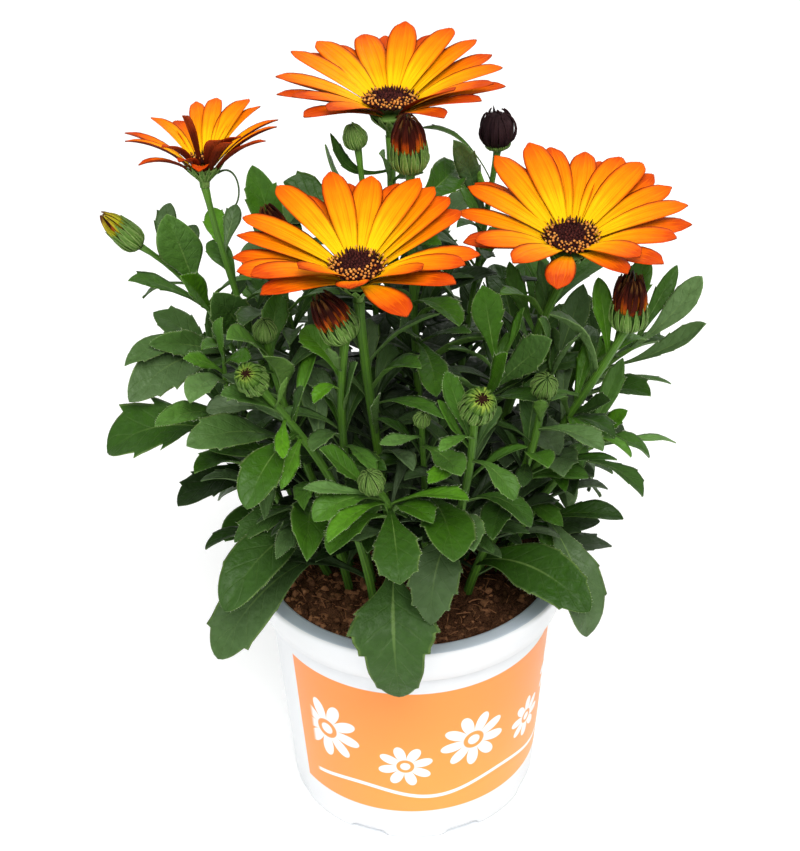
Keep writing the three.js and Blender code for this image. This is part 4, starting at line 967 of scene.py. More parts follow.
def grow_leaf(growth, root, tip, width, roll, arch, tone, draw, grey_and_sheen=0.0, shape=None, hairs=False):
    """One leaf from its root inside the stem to its tip, with its margins' hairs if it is seen close."""
    kind = leaf_kind(width)
    columns = COLUMNS[kind]
    _, side, chord_normal = natural_lie(root, tip)
    length = np.linalg.norm(tip - root)
    control = (root + tip) / 2 + chord_normal * 2 * arch
    shape = shape or {}
    width = width if shape else min(width, 0.38 * length)
    teeth = [shape["teeth"] if "teeth" in shape else leaf_teeth(kind, draw) for _ in range(2)]
    count, neck = KINDS[kind][:2]
    stops = [place + step for margin in teeth for place, _, _ in margin for step in (-0.03, 0, 0.022)]
    stations = np.concatenate([np.linspace(0, 1, count), stops, [0.94, 0.97, 0.99]])
    s = np.unique(np.round(np.clip(stations, 0, 1), 3))
    corners = [root, control, tip]
    centre = curve_points(corners, s)
    heading = curve_headings(corners, s)
    twist = draw.uniform(-0.25, 0.25) * s ** 2
    across = turned(side, heading, roll + twist)
    normal = np.cross(heading, across)
    centre = centre + across * (draw.uniform(-0.03, 0.03) * length * np.sin(np.pi * s))[:, None]
    widest = draw.uniform(0.64, 0.77)
    point = draw.uniform(0, 0.15) if kind == "toothed" else draw.uniform(0.0, 0.6)
    widest, point, neck = shape.get("widest", widest), shape.get("point", point), shape.get("neck", neck)
    (left, push_left), (right, push_right) = (half_width(s, widest, neck, point, margin) for margin in teeth)
    waist, lobe = shape.get("waist", 0.63), shape.get("lobe", 1)
    lobe = np.interp(s, [waist, waist + 0.08, 1], [1, lobe, lobe ** 0.5])
    reach = (left * lobe * width / 2, right * lobe * width / 2)
    near = np.abs(columns)[None, :]
    mean_reach = (reach[0] + reach[1])[:, None] / 2
    lateral = near * mean_reach
    wave = draw.uniform(0.3, 0.75) * width / 14
    phase = [draw.uniform(0, 6.3) for _ in range(2)]
    beat = draw.uniform(1.4, 2.3) * 2 * np.pi
    waves = np.sin(beat * s[:, None] + np.where(columns[None, :] < 0, *phase))
    fold = FOLD * (1 if kind == "toothed" else draw.uniform(0.8, 2.2))
    height = fold * mean_reach * near ** 1.35 + wave * waves * near ** 2 * np.sin(np.pi * s[:, None])
    height = height - draw.uniform(0.0, 0.05) * length * np.clip(s[:, None] - 0.7, 0, 1) ** 2 / 0.09
    rib = np.exp(-(lateral / 0.75) ** 2) * (1 - 0.6 * s[:, None])
    thickness = (0.55 * np.sqrt(np.maximum(1 - near ** 2, 0)) + 0.5 * rib) * min(1, width / 9)
    height = height - 0.5 * rib * min(1, width / 9)
    push = np.where(columns[None, :] < 0, push_left[:, None], push_right[:, None]) * near ** 4 * length
    points, faces, uvs, uppers = blade_body(
        centre, across, normal, reach, columns, height, thickness, heading[:, None, :] * push[..., None]
    )
    uvs[:, 1] = np.concatenate([np.repeat(s, len(columns)), np.repeat(s, len(columns) - 2)])
    skins = [LEAF_UPPER] * uppers + [LEAF_UNDER] * (len(faces) - uppers)
    growth.add(points, faces, uvs, tone, skins, grey_and_sheen)
    if hairs:
        grid = points[: len(s) * len(columns)].reshape(len(s), len(columns), 3)
        for column, sign in ((0, -1), (-1, 1)):
            rows = np.linspace(0.2 * len(s), len(s) - 2.05, int(length * 0.6))
            step, share = rows.astype(int), (rows % 1)[:, None]
            feet = grid[step, column] * (1 - share) + grid[step + 1, column] * share
            add_bristles(growth, feet, across[step] * sign + heading[step] * 0.7, draw)


sample = Growth(LEAF_UPPER, LEAF_UNDER)
grow_leaf(sample, np.zeros(3), np.array([40.0, 0, 20]), 16, 0, 5, 0.5, random.Random(1))
print("a toothed leaf has", len(sample.faces), "faces")

# %% [markdown]
# Each solid leaf was swung a little, where needed, to keep clear of its neighbours. The dressed
# leaf has to lie where the solid one does, so the script tries the same swings and keeps the
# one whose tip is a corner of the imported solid. A leaf that found no room has no such corner,
# and it is left out here as well.

# %% Where the solid leaves are
SWINGS = [
    (0, 0, 1), (7, 0, 1), (-7, 0, 1), (0, 7, 1), (0, -7, 1), (11, 8, 1), (-11, 8, 1), (11, -8, 1),
    (-11, -8, 1), (17, 0, 1), (-17, 0, 1), (0, 15, 1), (0, -15, 1), (0, 0, 0.85), (19, 14, 1),
    (-19, 14, 1), (19, -14, 1), (-19, -14, 1), (12, 0, 0.8), (-12, 0, 0.8), (27, 0, 1), (-27, 0, 1),
    (0, 24, 0.9), (30, 16, 0.9), (-30, 16, 0.9), (0, 0, 0.7), (20, 0, 0.7), (-20, 0, 0.7),
    (0, 18, 0.7), (0, -18, 0.7),
]


def node_name(name):
    """The solid of a shoot."""
    return "shoot_" + name


def swung_tip(root, tip, swing):
    turn, rise, share = swing
    chord = tip - root
    length = np.linalg.norm(chord) * share
    azimuth = math.atan2(chord[1], chord[0]) + math.radians(turn)
    slope = math.atan2(chord[2], math.hypot(chord[0], chord[1])) + math.radians(rise)
    level = math.cos(slope) * length
    return root + np.array([level * math.cos(azimuth), level * math.sin(azimuth), length * math.sin(slope)])


def polar_tip(root, reach, slope, azimuth):
    """A point at a distance, at a slope and an azimuth in degrees."""
    slope, azimuth = math.radians(slope), math.radians(azimuth)
    level = reach * math.cos(slope)
    return root + np.array([level * math.cos(azimuth), level * math.sin(azimuth), reach * math.sin(slope)])


def leaf_plan(shoot):
    """Every leaf that a shoot's solid asks for: (root, tip, width, roll, arch, place)."""
    corners = stem_corners(shoot)
    plan = []
    for at, x, y, z, width, turn, arch in shoot["leaves"]:
        root, tip = curve_points(corners, at)[0], np.array([x, y, z], float)
        plan.append((root, tip, width, roll_to_front(root, tip, turn), arch, at))
    count, start, end, length, azimuth = shoot["fill"]
    for i in range(count):
        at = start + (end - start) * (i + 0.5) / count
        root = curve_points(corners, at)[0]
        spread = FILL_SPREAD * math.sin(math.radians(GOLDEN_ANGLE * (i + 1)))
        tip = polar_tip(root, length * (1.2 - 0.45 * at), -4 + 46 * at, azimuth + spread)
        plan.append((root, tip, length * (0.33 - 0.07 * at), 0.2 * (i % 3) - 0.2, 0.1 * length, at))
    return plan


def solid_corners(node):
    """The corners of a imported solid, in millimetres, in a search tree."""
    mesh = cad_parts[node].data
    tree = KDTree(len(mesh.vertices))
    for vertex in mesh.vertices:
        tree.insert(vertex.co / MM, vertex.index)
    tree.balance()
    return tree


found, lost = {}, 0
for name, shoot in SHOOTS.items():
    corners = solid_corners(node_name(name))
    found[name] = []
    for index, (root, tip, width, roll, arch, at) in enumerate(leaf_plan(shoot)):
        tips = [swung_tip(root, tip, swing) for swing in SWINGS]
        misses = [corners.find(end.tolist())[2] for end in tips]
        best = int(np.argmin(misses))
        if misses[best] < 0.15:
            found[name].append((root, tips[best], width, roll, arch, index))
        else:
            lost += 1
print("leaves found:", sum(map(len, found.values())), "left out:", lost)

# %% [markdown]
# A real plant hides its stems behind more leaves than the solids can hold. Extra leaves grow
# up every stem at the golden angle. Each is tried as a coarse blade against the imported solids
# and the extra leaves so far, and is kept only where it crosses nothing, so the plant gets
# dense without leaves that cut through each other. Shoots with no flower end in a rosette of
# small young leaves.

# %% Extra leaves between the solid ones
def solid_tree(node):
    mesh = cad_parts[node].data
    points = [tuple(vertex.co / MM) for vertex in mesh.vertices]
    return BVHTree.FromPolygons(points, [tuple(face.vertices) for face in mesh.polygons])


def coarse_blade(root, tip, width, roll, arch):
    """Four stations of a blade's middle and margins, from just outside the stem."""
    _, side, chord_normal = natural_lie(root, tip)
    corners = [root, (root + tip) / 2 + chord_normal * 2 * arch, tip]
    s = np.array([0.13, 0.45, 0.72, 0.98])
    heading = curve_headings(corners, s)
    across = turned(side, heading, roll)
    normal = np.cross(heading, across)
    reach = np.array([0.3, 0.85, 1, 0.3])[:, None] * (width / 2 + 0.5)
    centre = curve_points(corners, s)
    margins = [centre + across * reach * sign + normal * reach * FOLD for sign in (-1, 1)]
    return np.stack([margins[0], centre, margins[1]], 1).reshape(-1, 3)


COARSE_FACES = grid_faces(4, 3).tolist()
SOLID_TREES = [(solid_tree(node), *[np.array(c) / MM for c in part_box(node)]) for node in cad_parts]
extra_trees = []


def is_clear(points):
    """A coarse blade's tree and box, or None where it crosses a solid or another extra leaf."""
    low, high = points.min(0), points.max(0)
    tree = BVHTree.FromPolygons(points.tolist(), COARSE_FACES)
    for other, other_low, other_high in SOLID_TREES + extra_trees:
        if (low < other_high).all() and (other_low < high).all() and tree.overlap(other):
            return None
    return tree, low, high


def has_room(tip):
    """Keeps the extra leaves inside the plant's dense middle and off the pot."""
    x, y, z = tip
    wide = 76 if z < 185 else 76 - (z - 185) * 0.7
    sill = 110 + 0.67 * max(0, -12 - y)
    return z > sill and abs(x) < wide and -72 < y < 86 and z < 236


def try_leaf(name, root, tip, width, roll, arch, swings, inside=True, index=99):
    """Keeps a leaf at its first swing that is clear. roll may depend on where the tip ends."""
    for swing in swings:
        end = swung_tip(root, tip, swing)
        if inside and not has_room(end):
            continue
        own_roll = roll(end) if callable(roll) else roll
        clear = is_clear(coarse_blade(root, end, width, own_roll, arch))
        if clear:
            extra_trees.append(clear)
            extra[name].append((root, end, width, own_roll, arch, index))
            return


extra = {name: [] for name in SHOOTS}
draw = random.Random(11)
for name, shoot in SHOOTS.items():
    corners = stem_corners(shoot)
    span = np.linalg.norm(np.diff(curve_points(corners, np.linspace(0, 1, 30)), axis=0), axis=1).sum()
    steps = int(span / 6.5)
    last = 0.86 if "head" in shoot else 0.95
    for i in range(steps):
        at = 0.16 + (last - 0.16) * (i + 0.5) / steps
        root = curve_points(corners, at)[0]
        reach = draw.uniform(26, 42) * (1.15 - 0.45 * at)
        tip = polar_tip(root, reach, -8 + 60 * at + draw.uniform(-10, 10), GOLDEN_ANGLE * i + 40 * len(name))
        width = reach * draw.uniform(0.2, 0.3)
        try_leaf(name, root, tip, width, draw.uniform(-0.4, 0.4), 0.1 * reach, SWINGS[:18])
print("extra leaves:", sum(map(len, extra.values())))

# %% Shorter leaves in the gaps that are left
for name, shoot in SHOOTS.items():
    corners = stem_corners(shoot)
    for i in range(16):
        at = 0.12 + 0.66 * (i + 0.5) / 16
        root = curve_points(corners, at)[0]
        reach = draw.uniform(17, 27)
        tip = polar_tip(root, reach, draw.uniform(-5, 55), GOLDEN_ANGLE * i + 30 + 70 * len(name))
        width = reach * draw.uniform(0.24, 0.36)
        try_leaf(name, root, tip, width, draw.uniform(-0.5, 0.5), 0.12 * reach, SWINGS[:12])
print("with shorter leaves:", sum(map(len, extra.values())))

# %% Rosettes at the ends of the shoots
# Small young leaves round the heads and buds, given like those of the table.
YOUNG = {
    "bloom_rear": [(0.93, -23, 2, 272, 4.5, 60, -6), (0.93, -13, -2, 270, 4.5, 60, 2),
                   (0.9, -8, -6, 264, 6, 40, 2), (0.9, 1, -8, 266, 5, 60, 2), (0.92, -6, 4, 265, 5, 60, 0)],
    "head_spent": [(0.93, 7, 6, 273, 3, 30, 4), (0.91, 25, 6, 258, 5, 60, 2)],
    "bud_high": [(0.93, -17, -8, 265, 5, 60, 0), (0.92, -34, 6, 255, 9, 50, 0)],
    "bud_striped": [(0.9, 5, 6, 250, 5, 50, 2), (0.8, 8, 2, 246, 6, 70, 2)],
    "bloom_right": [(0.76, 42, -20, 219, 6, 70, 0), (0.79, 35, 0, 224, 6, 70, 0),
                    (0.61, 44, -50, 212, 7, 50, 2)],
    "bud_left": [(0.69, -67, -24, 215, 6, 30, 0)],
    "bud_opening_left": [(0.88, -46, -82, 209, 5, 10, 1), (0.93, -59, -66, 224, 5, 20, 2),
                         (0.8, -40, -84, 196, 6, 20, 2)],
    "bud_opening_front": [(0.93, 10, -84, 209, 5, 0, 2), (0.86, 30, -60, 206, 5, 30, 2),
                          (0.8, 4, -72, 190, 6, 30, 2)],
    "bud_low_front": [(0.95, -32, -80, 193, 5, 20, 0)],
    "low_right": [(0.97, 80, -12, 172, 5, 40, 0), (0.95, 90, -26, 170, 5, 30, 1),
                  (0.98, 74, -26, 180, 6, 60, 1)],
    "left": [(0.98, -52, -40, 216, 6, 40, 1), (0.95, -72, -34, 212, 6, 40, 1)],
    "bud_green_left": [(0.9, -50, -70, 222, 5, 30, 1), (0.86, -30, -56, 220, 6, 30, 1)],
    "bud_small": [(0.93, -6, -70, 200, 5, 30, 1), (0.8, 12, -64, 196, 5, 30, 2)],
}
for name, leaves in YOUNG.items():
    for at, x, y, z, width, turn, arch in leaves:
        root, tip = curve_points(stem_corners(SHOOTS[name]), at)[0], np.array([x, y, z], float)
        try_leaf(name, root, tip, width, lambda end: roll_to_front(root, end, turn), arch,
                 SWINGS[:20], False, 98)
for name, shoot in SHOOTS.items():
    count, first, step = (2, 0.93, 0.05) if "head" in shoot else (6, 0.99, 0.03)
    for i in range(count):
        root = curve_points(stem_corners(shoot), first - step * i)[0]
        reach = draw.uniform(13, 19) + 1.6 * i
        tip = polar_tip(root, reach, 66 - 7 * i, GOLDEN_ANGLE * i + 65 * len(name))
        try_leaf(name, root, tip, reach * 0.3, 0, -0.06 * reach, SWINGS[:12])
print("with rosettes:", sum(map(len, extra.values())))

# %% [markdown]
# Bracts and cups: under every head sits a green cup of narrow bracts. Each bract is a small
# blade that follows the cup's profile. A bud's cup has two rows, shifted by half a step, and a
# short outer row. A green bud is nothing but bracts, in three rows that close over the top. An
# open head sits on a slimmer funnel with one row.

# %% Bracts, cups and green buds
def ring_blade(growth, profile, angle, width, axis, origin, tone, skin, share, lift,
               thickness=0.35, sweep=0.0):
    """
    A narrow blade in a ring. profile is its [radius, height] corners, seen from the side, and
    share is its width from foot to tip. lift raises the margins, and sweep leans it sideways.
    """
    s = np.linspace(0, 1, 9)
    flat = curve_points([(r, 0, z) for r, z in profile], s)
    run = curve_headings([(r, 0, z) for r, z in profile], s)
    a = angle + sweep * s
    centre = np.stack([flat[:, 0] * np.cos(a), flat[:, 0] * np.sin(a), flat[:, 2]], -1)
    heading = np.stack([run[:, 0] * np.cos(a), run[:, 0] * np.sin(a), run[:, 2]], -1)
    side = np.stack([-np.sin(a), np.cos(a), np.zeros_like(a)], -1)
    normal = np.cross(heading, side)
    half = np.interp(s, np.linspace(0, 1, len(share)), share) * width / 2
    columns = np.linspace(-1, 1, 5)
    near = np.abs(columns)[None, :]
    height = lift * half[:, None] * near ** 1.5
    body = thickness * np.sqrt(np.maximum(1 - near ** 2, 0)) * np.ones((len(s), 1))
    points, faces, uvs, _ = blade_body(centre, side, normal, (half, half), columns, height, body)
    growth.add(seated(points, axis, origin), faces, uvs, tone, skin)


def turned_body(growth, profile, axis, origin, tone, skin, wobble=0.0):
    """A closed body turned round an axis: profile is [radius, height] from bottom to top."""
    sides = 20
    profile = np.array(profile, float)
    angle = 2 * np.pi * np.arange(sides) / sides
    ring = 1 + wobble * np.cos(angle * sides / 4)
    x = profile[:, :1] * np.cos(angle) * ring
    y = profile[:, :1] * np.sin(angle) * ring
    z = np.repeat(profile[:, 1:], sides, 1)
    points, faces, uvs = drum(np.stack([x, y, z], -1), (0, 0, profile[0, 1]), (0, 0, profile[-1, 1]))
    growth.add(seated(points, axis, origin), faces, uvs, tone, skin)


def add_bract_row(growth, count, shift, profile, width, axis, origin, draw, share, tone):
    """A ring of bracts on one profile, each a little out of line with the next."""
    for i in range(count):
        angle = 2 * math.pi * (i + shift) / count + draw.uniform(-0.06, 0.06)
        out, tall = draw.uniform(0.97, 1.05), draw.uniform(-0.6, 0.5)
        own = [profile[0]] + [(r * out, z) for r, z in profile[1:]]
        own[-1] = (own[-1][0], own[-1][1] + tall)
        wide = width * draw.uniform(0.85, 1.15)
        own_tone = float(np.clip(tone + draw.uniform(-0.3, 0.3), 0, 1))
        ring_blade(growth, own, angle, wide, axis, origin, own_tone, BRACT_SKIN, share, lift=-0.3)


def scaled(profile, radius, height):
    """A profile given in shares of a radius and a height."""
    return [(r * radius, z * height) for r, z in profile]


def add_cup(growth, height, radius, axis, origin, draw, over, lean_in, tone, broad):
    """
    A receptacle in three rows of pointed bracts: two whose tips stand by so much over its edge
    and lean in, and a short one below. A cup with broad bracts has fewer of them.
    """
    core = scaled([(0.55, 0.04), (0.84, 0.34), (0.88, 0.7), (0.8, 0.96)], radius, height)
    turned_body(growth, [(1.3, -1.5), *core], axis, origin, 0.2, CUP_CORE)
    rows = [(14, 0.0, 1.02, 0.33, over), (14, 0.5, 0.97, 0.3, over - 1.6),
            (9, 0.3, 1.07, 0.26, -0.42 * height)]
    if broad:
        rows = [(8, 0.0, 1.02, 0.62, over), (8, 0.5, 0.96, 0.56, over + 0.6),
                (7, 0.3, 1.07, 0.36, -0.5 * height)]
    for count, shift, out, wide, rise in rows:
        profile = [(1.4, -1.0), (1.12 * out * radius, -0.02 * height), (1.04 * out * radius, 0.66 * height),
                   (lean_in * out * radius, height + rise)]
        share = [0.5, 1, 1, 0.7, 0.04]
        add_bract_row(growth, count, shift, profile, wide * radius, axis, origin, draw, share, tone)


def add_funnel(growth, height, radius, axis, origin, draw, deep=1.0, flare=1.06, over=1.3):
    """The slim cup under an open head: it widens out of the stem like a funnel."""
    core = [(1.6, min(height - 7 * deep, -0.4)), (1.85, height - 4.2 * deep),
            (0.48 * radius, height - 2.7 * deep), (0.75 * radius, height - 1.1 * deep),
            (0.94 * radius, height + 0.1), (0.86 * radius, height + 0.5)]
    turned_body(growth, core, axis, origin, 0.6, BRACT_SKIN)
    profile = [(1.7, height - 5.6 * deep), (0.5 * radius, height - 3.2 * deep),
               (0.9 * radius, height - 1.2 * deep), (flare * radius, height + over)]
    add_bract_row(growth, 15, 0.0, profile, 0.38 * radius, axis, origin, draw, [0.5, 0.8, 1, 0.8, 0.1], 0.3)


def add_curl(growth, corners):
    """A dry leaf that has rolled up into a thread, along a curve."""
    s = np.linspace(0, 1, 22)
    points, faces, uvs = tube_body(curve_points(corners, s), curve_headings(corners, s), 0.42 - 0.12 * s, 6)
    growth.add(points, faces, uvs, 0.2, LEAF_UNDER, 0.5)


def add_green_bud(growth, height, radius, axis, origin, draw):
    """A closed bud: pointed bracts that lean in over a dark core."""
    core = scaled([(0.6, 0.06), (0.82, 0.36), (0.7, 0.66), (0.3, 0.86)], radius, height)
    turned_body(growth, [(1.2, -1.2), *core], axis, origin, 0.0, CUP_CORE)
    rows = [(11, 0.0, 0.96, 0.42, 1.0, 0.12), (12, 0.5, 1.02, 0.36, 0.97, 0.3),
            (9, 0.2, 1.05, 0.3, 0.66, 0.82)]
    for count, shift, out, wide, top, end in rows:
        profile = [(1.3, -0.9), (1.18 * out * radius, -0.02 * height),
                   (1.12 * out * radius, 0.72 * top * height), (end * radius, top * height)]
        share = [0.5, 1, 0.95, 0.6, 0.04]
        add_bract_row(growth, count, shift, profile, wide * radius, axis, origin, draw, share, 0.6)


print("bracts ready")

# %% [markdown]
# Now the shoots themselves: a stem with faint ribs that thins towards its head, its cup or
# green bud, its solid leaves and its extra ones. Leaves high on the plant are younger and
# brighter than the broad ones that hang over the rim, and leaves deep inside the plant are
# painted dark as painted shade. Small tables give single leaves and buds a tone, a grey
# bloom that also stands in for a painted sheen, a girth, a facing or a sag of their own, as
# no two are alike.

# %% Shoots
# The tone, which mixes in painted shade below about a third, and the grey cast and painted sheen of the
# leaves listed in the table, in their order there.
TONES = {
    "bud_low_front": [0.3, 0.6, 0.5, 0.36, 0.75, 0.8, 0.65, 0.55],
    "bud_opening_left": [0.45, 0.35, 0.5],
    "bud_opening_front": [0.22, 0.4, 0.55, 0.5],
    "bud_small": [0.45, 0.6],
    "bud_green_right": [0.3, 0.5],
    "bud_hidden": [0.5],
    "head_spent": [0.4, 0.3],
    "bud_green_left": [0.36, 0.4, 0.4, 0.33, 0.5, 0.5, 0.6, 0.75, 0.5],
    "bud_left": [0.38, 0.5, 0.45, 0.75, 0.5, 0.62, 0.4, 0.4, 0.4],
    "bloom_left": [0.4, 0.45, 0.9, 0.4],
    "left": [0.5, 0.5, 0.34, 0.66, 0.7, 0.6],
    "right": [0.3, 0.5, 0.5, 0.7, 0.5],
    "low_right": [0.5, 0.3, 0.3, 0.4, 0.6, 0.5, 0.9, 0.6],
    "bud_under_front": [0.5, 0.3, 0.5, 0.8, 0.75],
    "bud_striped": [0.45, 0.35, 0.5, 0.45],
}
GREYS_AND_SHEEN = {
    ("bud_opening_front", 0): 0.3, ("bud_left", 0): 0.4, ("right", 2): 0.45, ("right", 3): 0.7,
    ("low_right", 1): 0.4, ("left", 3): 0.25, ("bud_low_front", 6): 0.1, ("bud_low_front", 0): 0.12,
    ("bud_green_right", 0): 0.0, ("bud_green_left", 0): 0.3, ("bud_left", 2): 0.3,
}


def leaf_tone(name, tip, width, index, draw):
    """From 0, deep in the shade, to 1, young and bright."""
    placed = TONES.get(name, [])
    if index < len(placed):
        return placed[index]
    if index == 98:
        return draw.uniform(0.6, 0.9) if tip[1] < -20 else draw.uniform(0.3, 0.75)
    young = 0.36 + 0.0018 * (tip[2] - 150) + 0.014 * (11 - width)
    # Painted shade: leaves deep inside the plant get a lower tone.
    out = math.sqrt((tip[0] / 95) ** 2 + (tip[1] / 90) ** 2 + ((tip[2] - 165) / 80) ** 2)
    young -= 0.9 * max(0.0, 0.98 - out)
    return float(np.clip(young + draw.uniform(-0.26, 0.32), 0, 1))


# Girth, length and facing of single buds, next to their solids.
BUD_FIT = {
    "bud_left": (0.78, 0.95, (-0.68, 0, 0.73)), "bud_striped": (0.93, 0.87, (-0.04, 0, 1)),
    "bud_under_front": (0.95, 0.86, (-0.46, 0, 0.88)), "bud_dark_right": (1, 0.93, (0.03, 0, 1)),
    "head_spent": (1, 0.9, (-0.08, 0, 1)), "bud_green_left": (0.78, 0.82, (0, -0.3, 0.95)),
    "bud_opening_left": (0.94, 0.92, (-0.25, -0.6, 0.75)),
    "bud_opening_front": (0.92, 0.9, (0.2, -0.52, 0.83)), "bud_green_right": (0.87, 0.9, (0.1, -0.5, 0.86)),
    "bud_low_front": (0.9, 0.92, (-0.15, -0.4, 0.9)), "bud_small": (0.8, 0.85, (0.1, -0.4, 0.9)),
}
# How far single buds sit above their solids, and how stout their stems are towards the top.
BUD_LIFT = {"bud_under_front": 2.5, "head_spent": 1.0, "bud_high": 6.5, "bud_opening_left": 2.2,
            "bud_opening_front": 1.5, "bud_green_right": 2.0, "bud_low_front": 1.6}
STOUTNESS = {"bud_left": 0.7, "head_spent": 0.75, "bud_high": 0.75, "bud_small": 0.75, "bud_hidden": 0.8,
             "bud_green_left": 0.9, "bloom_front": 1.2, "bloom_right": 1.2, "bloom_rear": 1.15,
             "bloom_left": 0.84}


def bud_fit(name, head, top):
    """A bud's foot, axis, girth and length: some are slimmer than their solids or face the front."""
    girth, length, way = BUD_FIT.get(name, (1, 1, head["axis"]))
    axis = unit(way)
    middle = 0.45 * (head["height"] if "height" in head else head["cup"] + 0.5 * head["tuft"])
    foot = top + unit(head["axis"]) * middle - axis * middle * length
    return foot + (0, 0, BUD_LIFT.get(name, 0)), axis, girth, length


def add_stem(growth, name, shoot, foot):
    """foot is where the head sits. It may be a little off the curve's end, and the stem bends to it."""
    corners = stem_corners(shoot)
    s = np.linspace(0.03, 1, 30)
    stout = STOUTNESS.get(name, 1)
    radii = (1.75 - 0.45 * s) * np.interp(s, [0, 0.4, 0.7, 1], [1, 1, stout, stout])
    if "head" in shoot:
        radii = radii + 0.5 * np.clip((s - 0.94) / 0.06, 0, 1) ** 2
    else:
        radii = radii - 0.7 * np.clip((s - 0.7) / 0.3, 0, 1) ** 2
    bend = (np.clip((s - 0.78) / 0.22, 0, 1) ** 2)[:, None] * (foot - np.array(corners[3], float))
    path = curve_points(corners, s) + bend
    points, faces, uvs = tube_body(path, curve_headings(corners, s), radii, 12, 0.1)
    tone = np.concatenate([np.repeat(s ** 2, 12), [s[0], s[-1]]])
    growth.add(points, faces, uvs, tone, STEM_SKIN)


# Leaves that turn further to the front than their solids, that are narrower and that sag more.
FACING = {("bud_left", 5): 150, ("bloom_left", 0): 150, ("centre", 0): 100, ("left", 5): 120,
          ("bud_striped", 1): 60, ("head_spent", 1): 150, ("bud_green_right", 0): 30, ("bud_left", 3): 90}
NARROW = {("right", 2): 0.78, ("right", 3): 0.78, ("right", 4): 0.8, ("left", 0): 0.8, ("bud_left", 2): 0.8}
SAG = {("bud_green_right", 0): 7, ("right", 2): -4, ("right", 3): -3}

# How far a cup's tips stand over its edge, how far they lean in, and how pale they are.
CUP_TIPS = {"bud_dark": (1.3, 0.93, 0.26), "bud_yellow": (2.0, 0.94, 0.45),
            "bud_opening": (2.6, 0.66, 0.45), "bud_spent": (-1.6, 0.7, 0.1)}

draw = random.Random(5)
for name, shoot in SHOOTS.items():
    growth = Growth(LEAF_UPPER, LEAF_UNDER, STEM_SKIN, BRACT_SKIN, CUP_CORE, BRISTLE)
    head = shoot.get("head")
    foot = np.array(shoot["stem"][3], float)
    if head and head["kind"] != "bloom":
        foot, axis, girth, length = bud_fit(name, head, foot)
    add_stem(growth, name, shoot, foot)
    if head and head["kind"] == "green":
        add_green_bud(growth, head["height"] * length, head["radius"] * girth, axis, foot, draw)
    elif head and head["kind"] == "bud":
        radius = head["radius"] * girth * (0.74 if name == "head_spent" else 1)
        tips = CUP_TIPS[head["colour"]]
        add_cup(growth, head["cup"] * length, radius, axis, foot, draw, *tips, name == "bud_left")
    elif name == "bloom_left":
        add_funnel(growth, head["depth"] - 3.4, head["hub"], head["axis"], foot, draw, 0.62, 1.35, 2.2)
        add_curl(growth, [(-61.5, 2, 258.5), (-55, 2, 263.5), (-53, 4, 250), (-56.6, 4, 245.2)])
    elif head:
        add_funnel(growth, head["depth"] - 4.7, head["hub"], head["axis"], foot, draw)
    for root, tip, width, roll, arch, index in found[name] + extra[name]:
        key = (name, index)
        tone = leaf_tone(name, tip, width, index, draw)
        # Grey cast and painted sheen: given for single leaves, and at random, mostly low, for the rest.
        grey_and_sheen = GREYS_AND_SHEEN.get(key, 0.55 * draw.random() ** 3)
        roll = roll_to_front(root, tip, FACING[key]) if key in FACING else roll
        width = width * NARROW.get(key, 1)
        arch = SAG.get(key, arch)
        hairs = index < 99 and tip[1] < 30
        grow_leaf(growth, root, tip, width, roll, arch, tone, draw, grey_and_sheen, LEAF_SHAPES.get(key), hairs)
    growth.make("leafy_" + name, "foliage", node_name(name))

# %% [markdown]
# A ray is a blade with two shallow grooves, a blunt tip with faint lobes, and a slight twist of
# its own. Rays overlap like shingles: one that rises more than its neighbour starts a layer
# higher, and some roll a little, so no two cross. Rays with a short reach are the crumpled
# ones, so they curl in. The dark upright ray on the half-open head is still rolled up.

# %% Rays of the open heads
RAY_COLUMNS = np.array([-1, -0.78, -0.54, -0.36, -0.2, 0, 0.2, 0.36, 0.54, 0.78, 1])
RAY_STATIONS = np.array([0, 0.08, 0.18, 0.3, 0.42, 0.54, 0.66, 0.76, 0.85, 0.91, 0.955, 0.98, 1])
RAY_WIDTHS = np.array([0.26, 0.36, 0.5, 0.68, 0.85, 0.96, 1, 0.97, 0.86, 0.73, 0.57, 0.43, 0.24])

# The ray that is still rolled up, and one that is broader than the rest.
ROLLED = {("bloom_left", 258)}
BROAD = {("bloom_left", 58): 1.4}


def ray_levels(rises):
    """How many layers each ray lies above the lowest one beside it, so that no two cross."""
    count, levels = len(rises), [0] * len(rises)
    for index in sorted(range(count), key=lambda i: rises[i]):
        below = [levels[j] for j in (index - 1, (index + 1) % count) if rises[j] < rises[index]]
        levels[index] = min(3, 1 + max(below)) if below else 0
    return levels


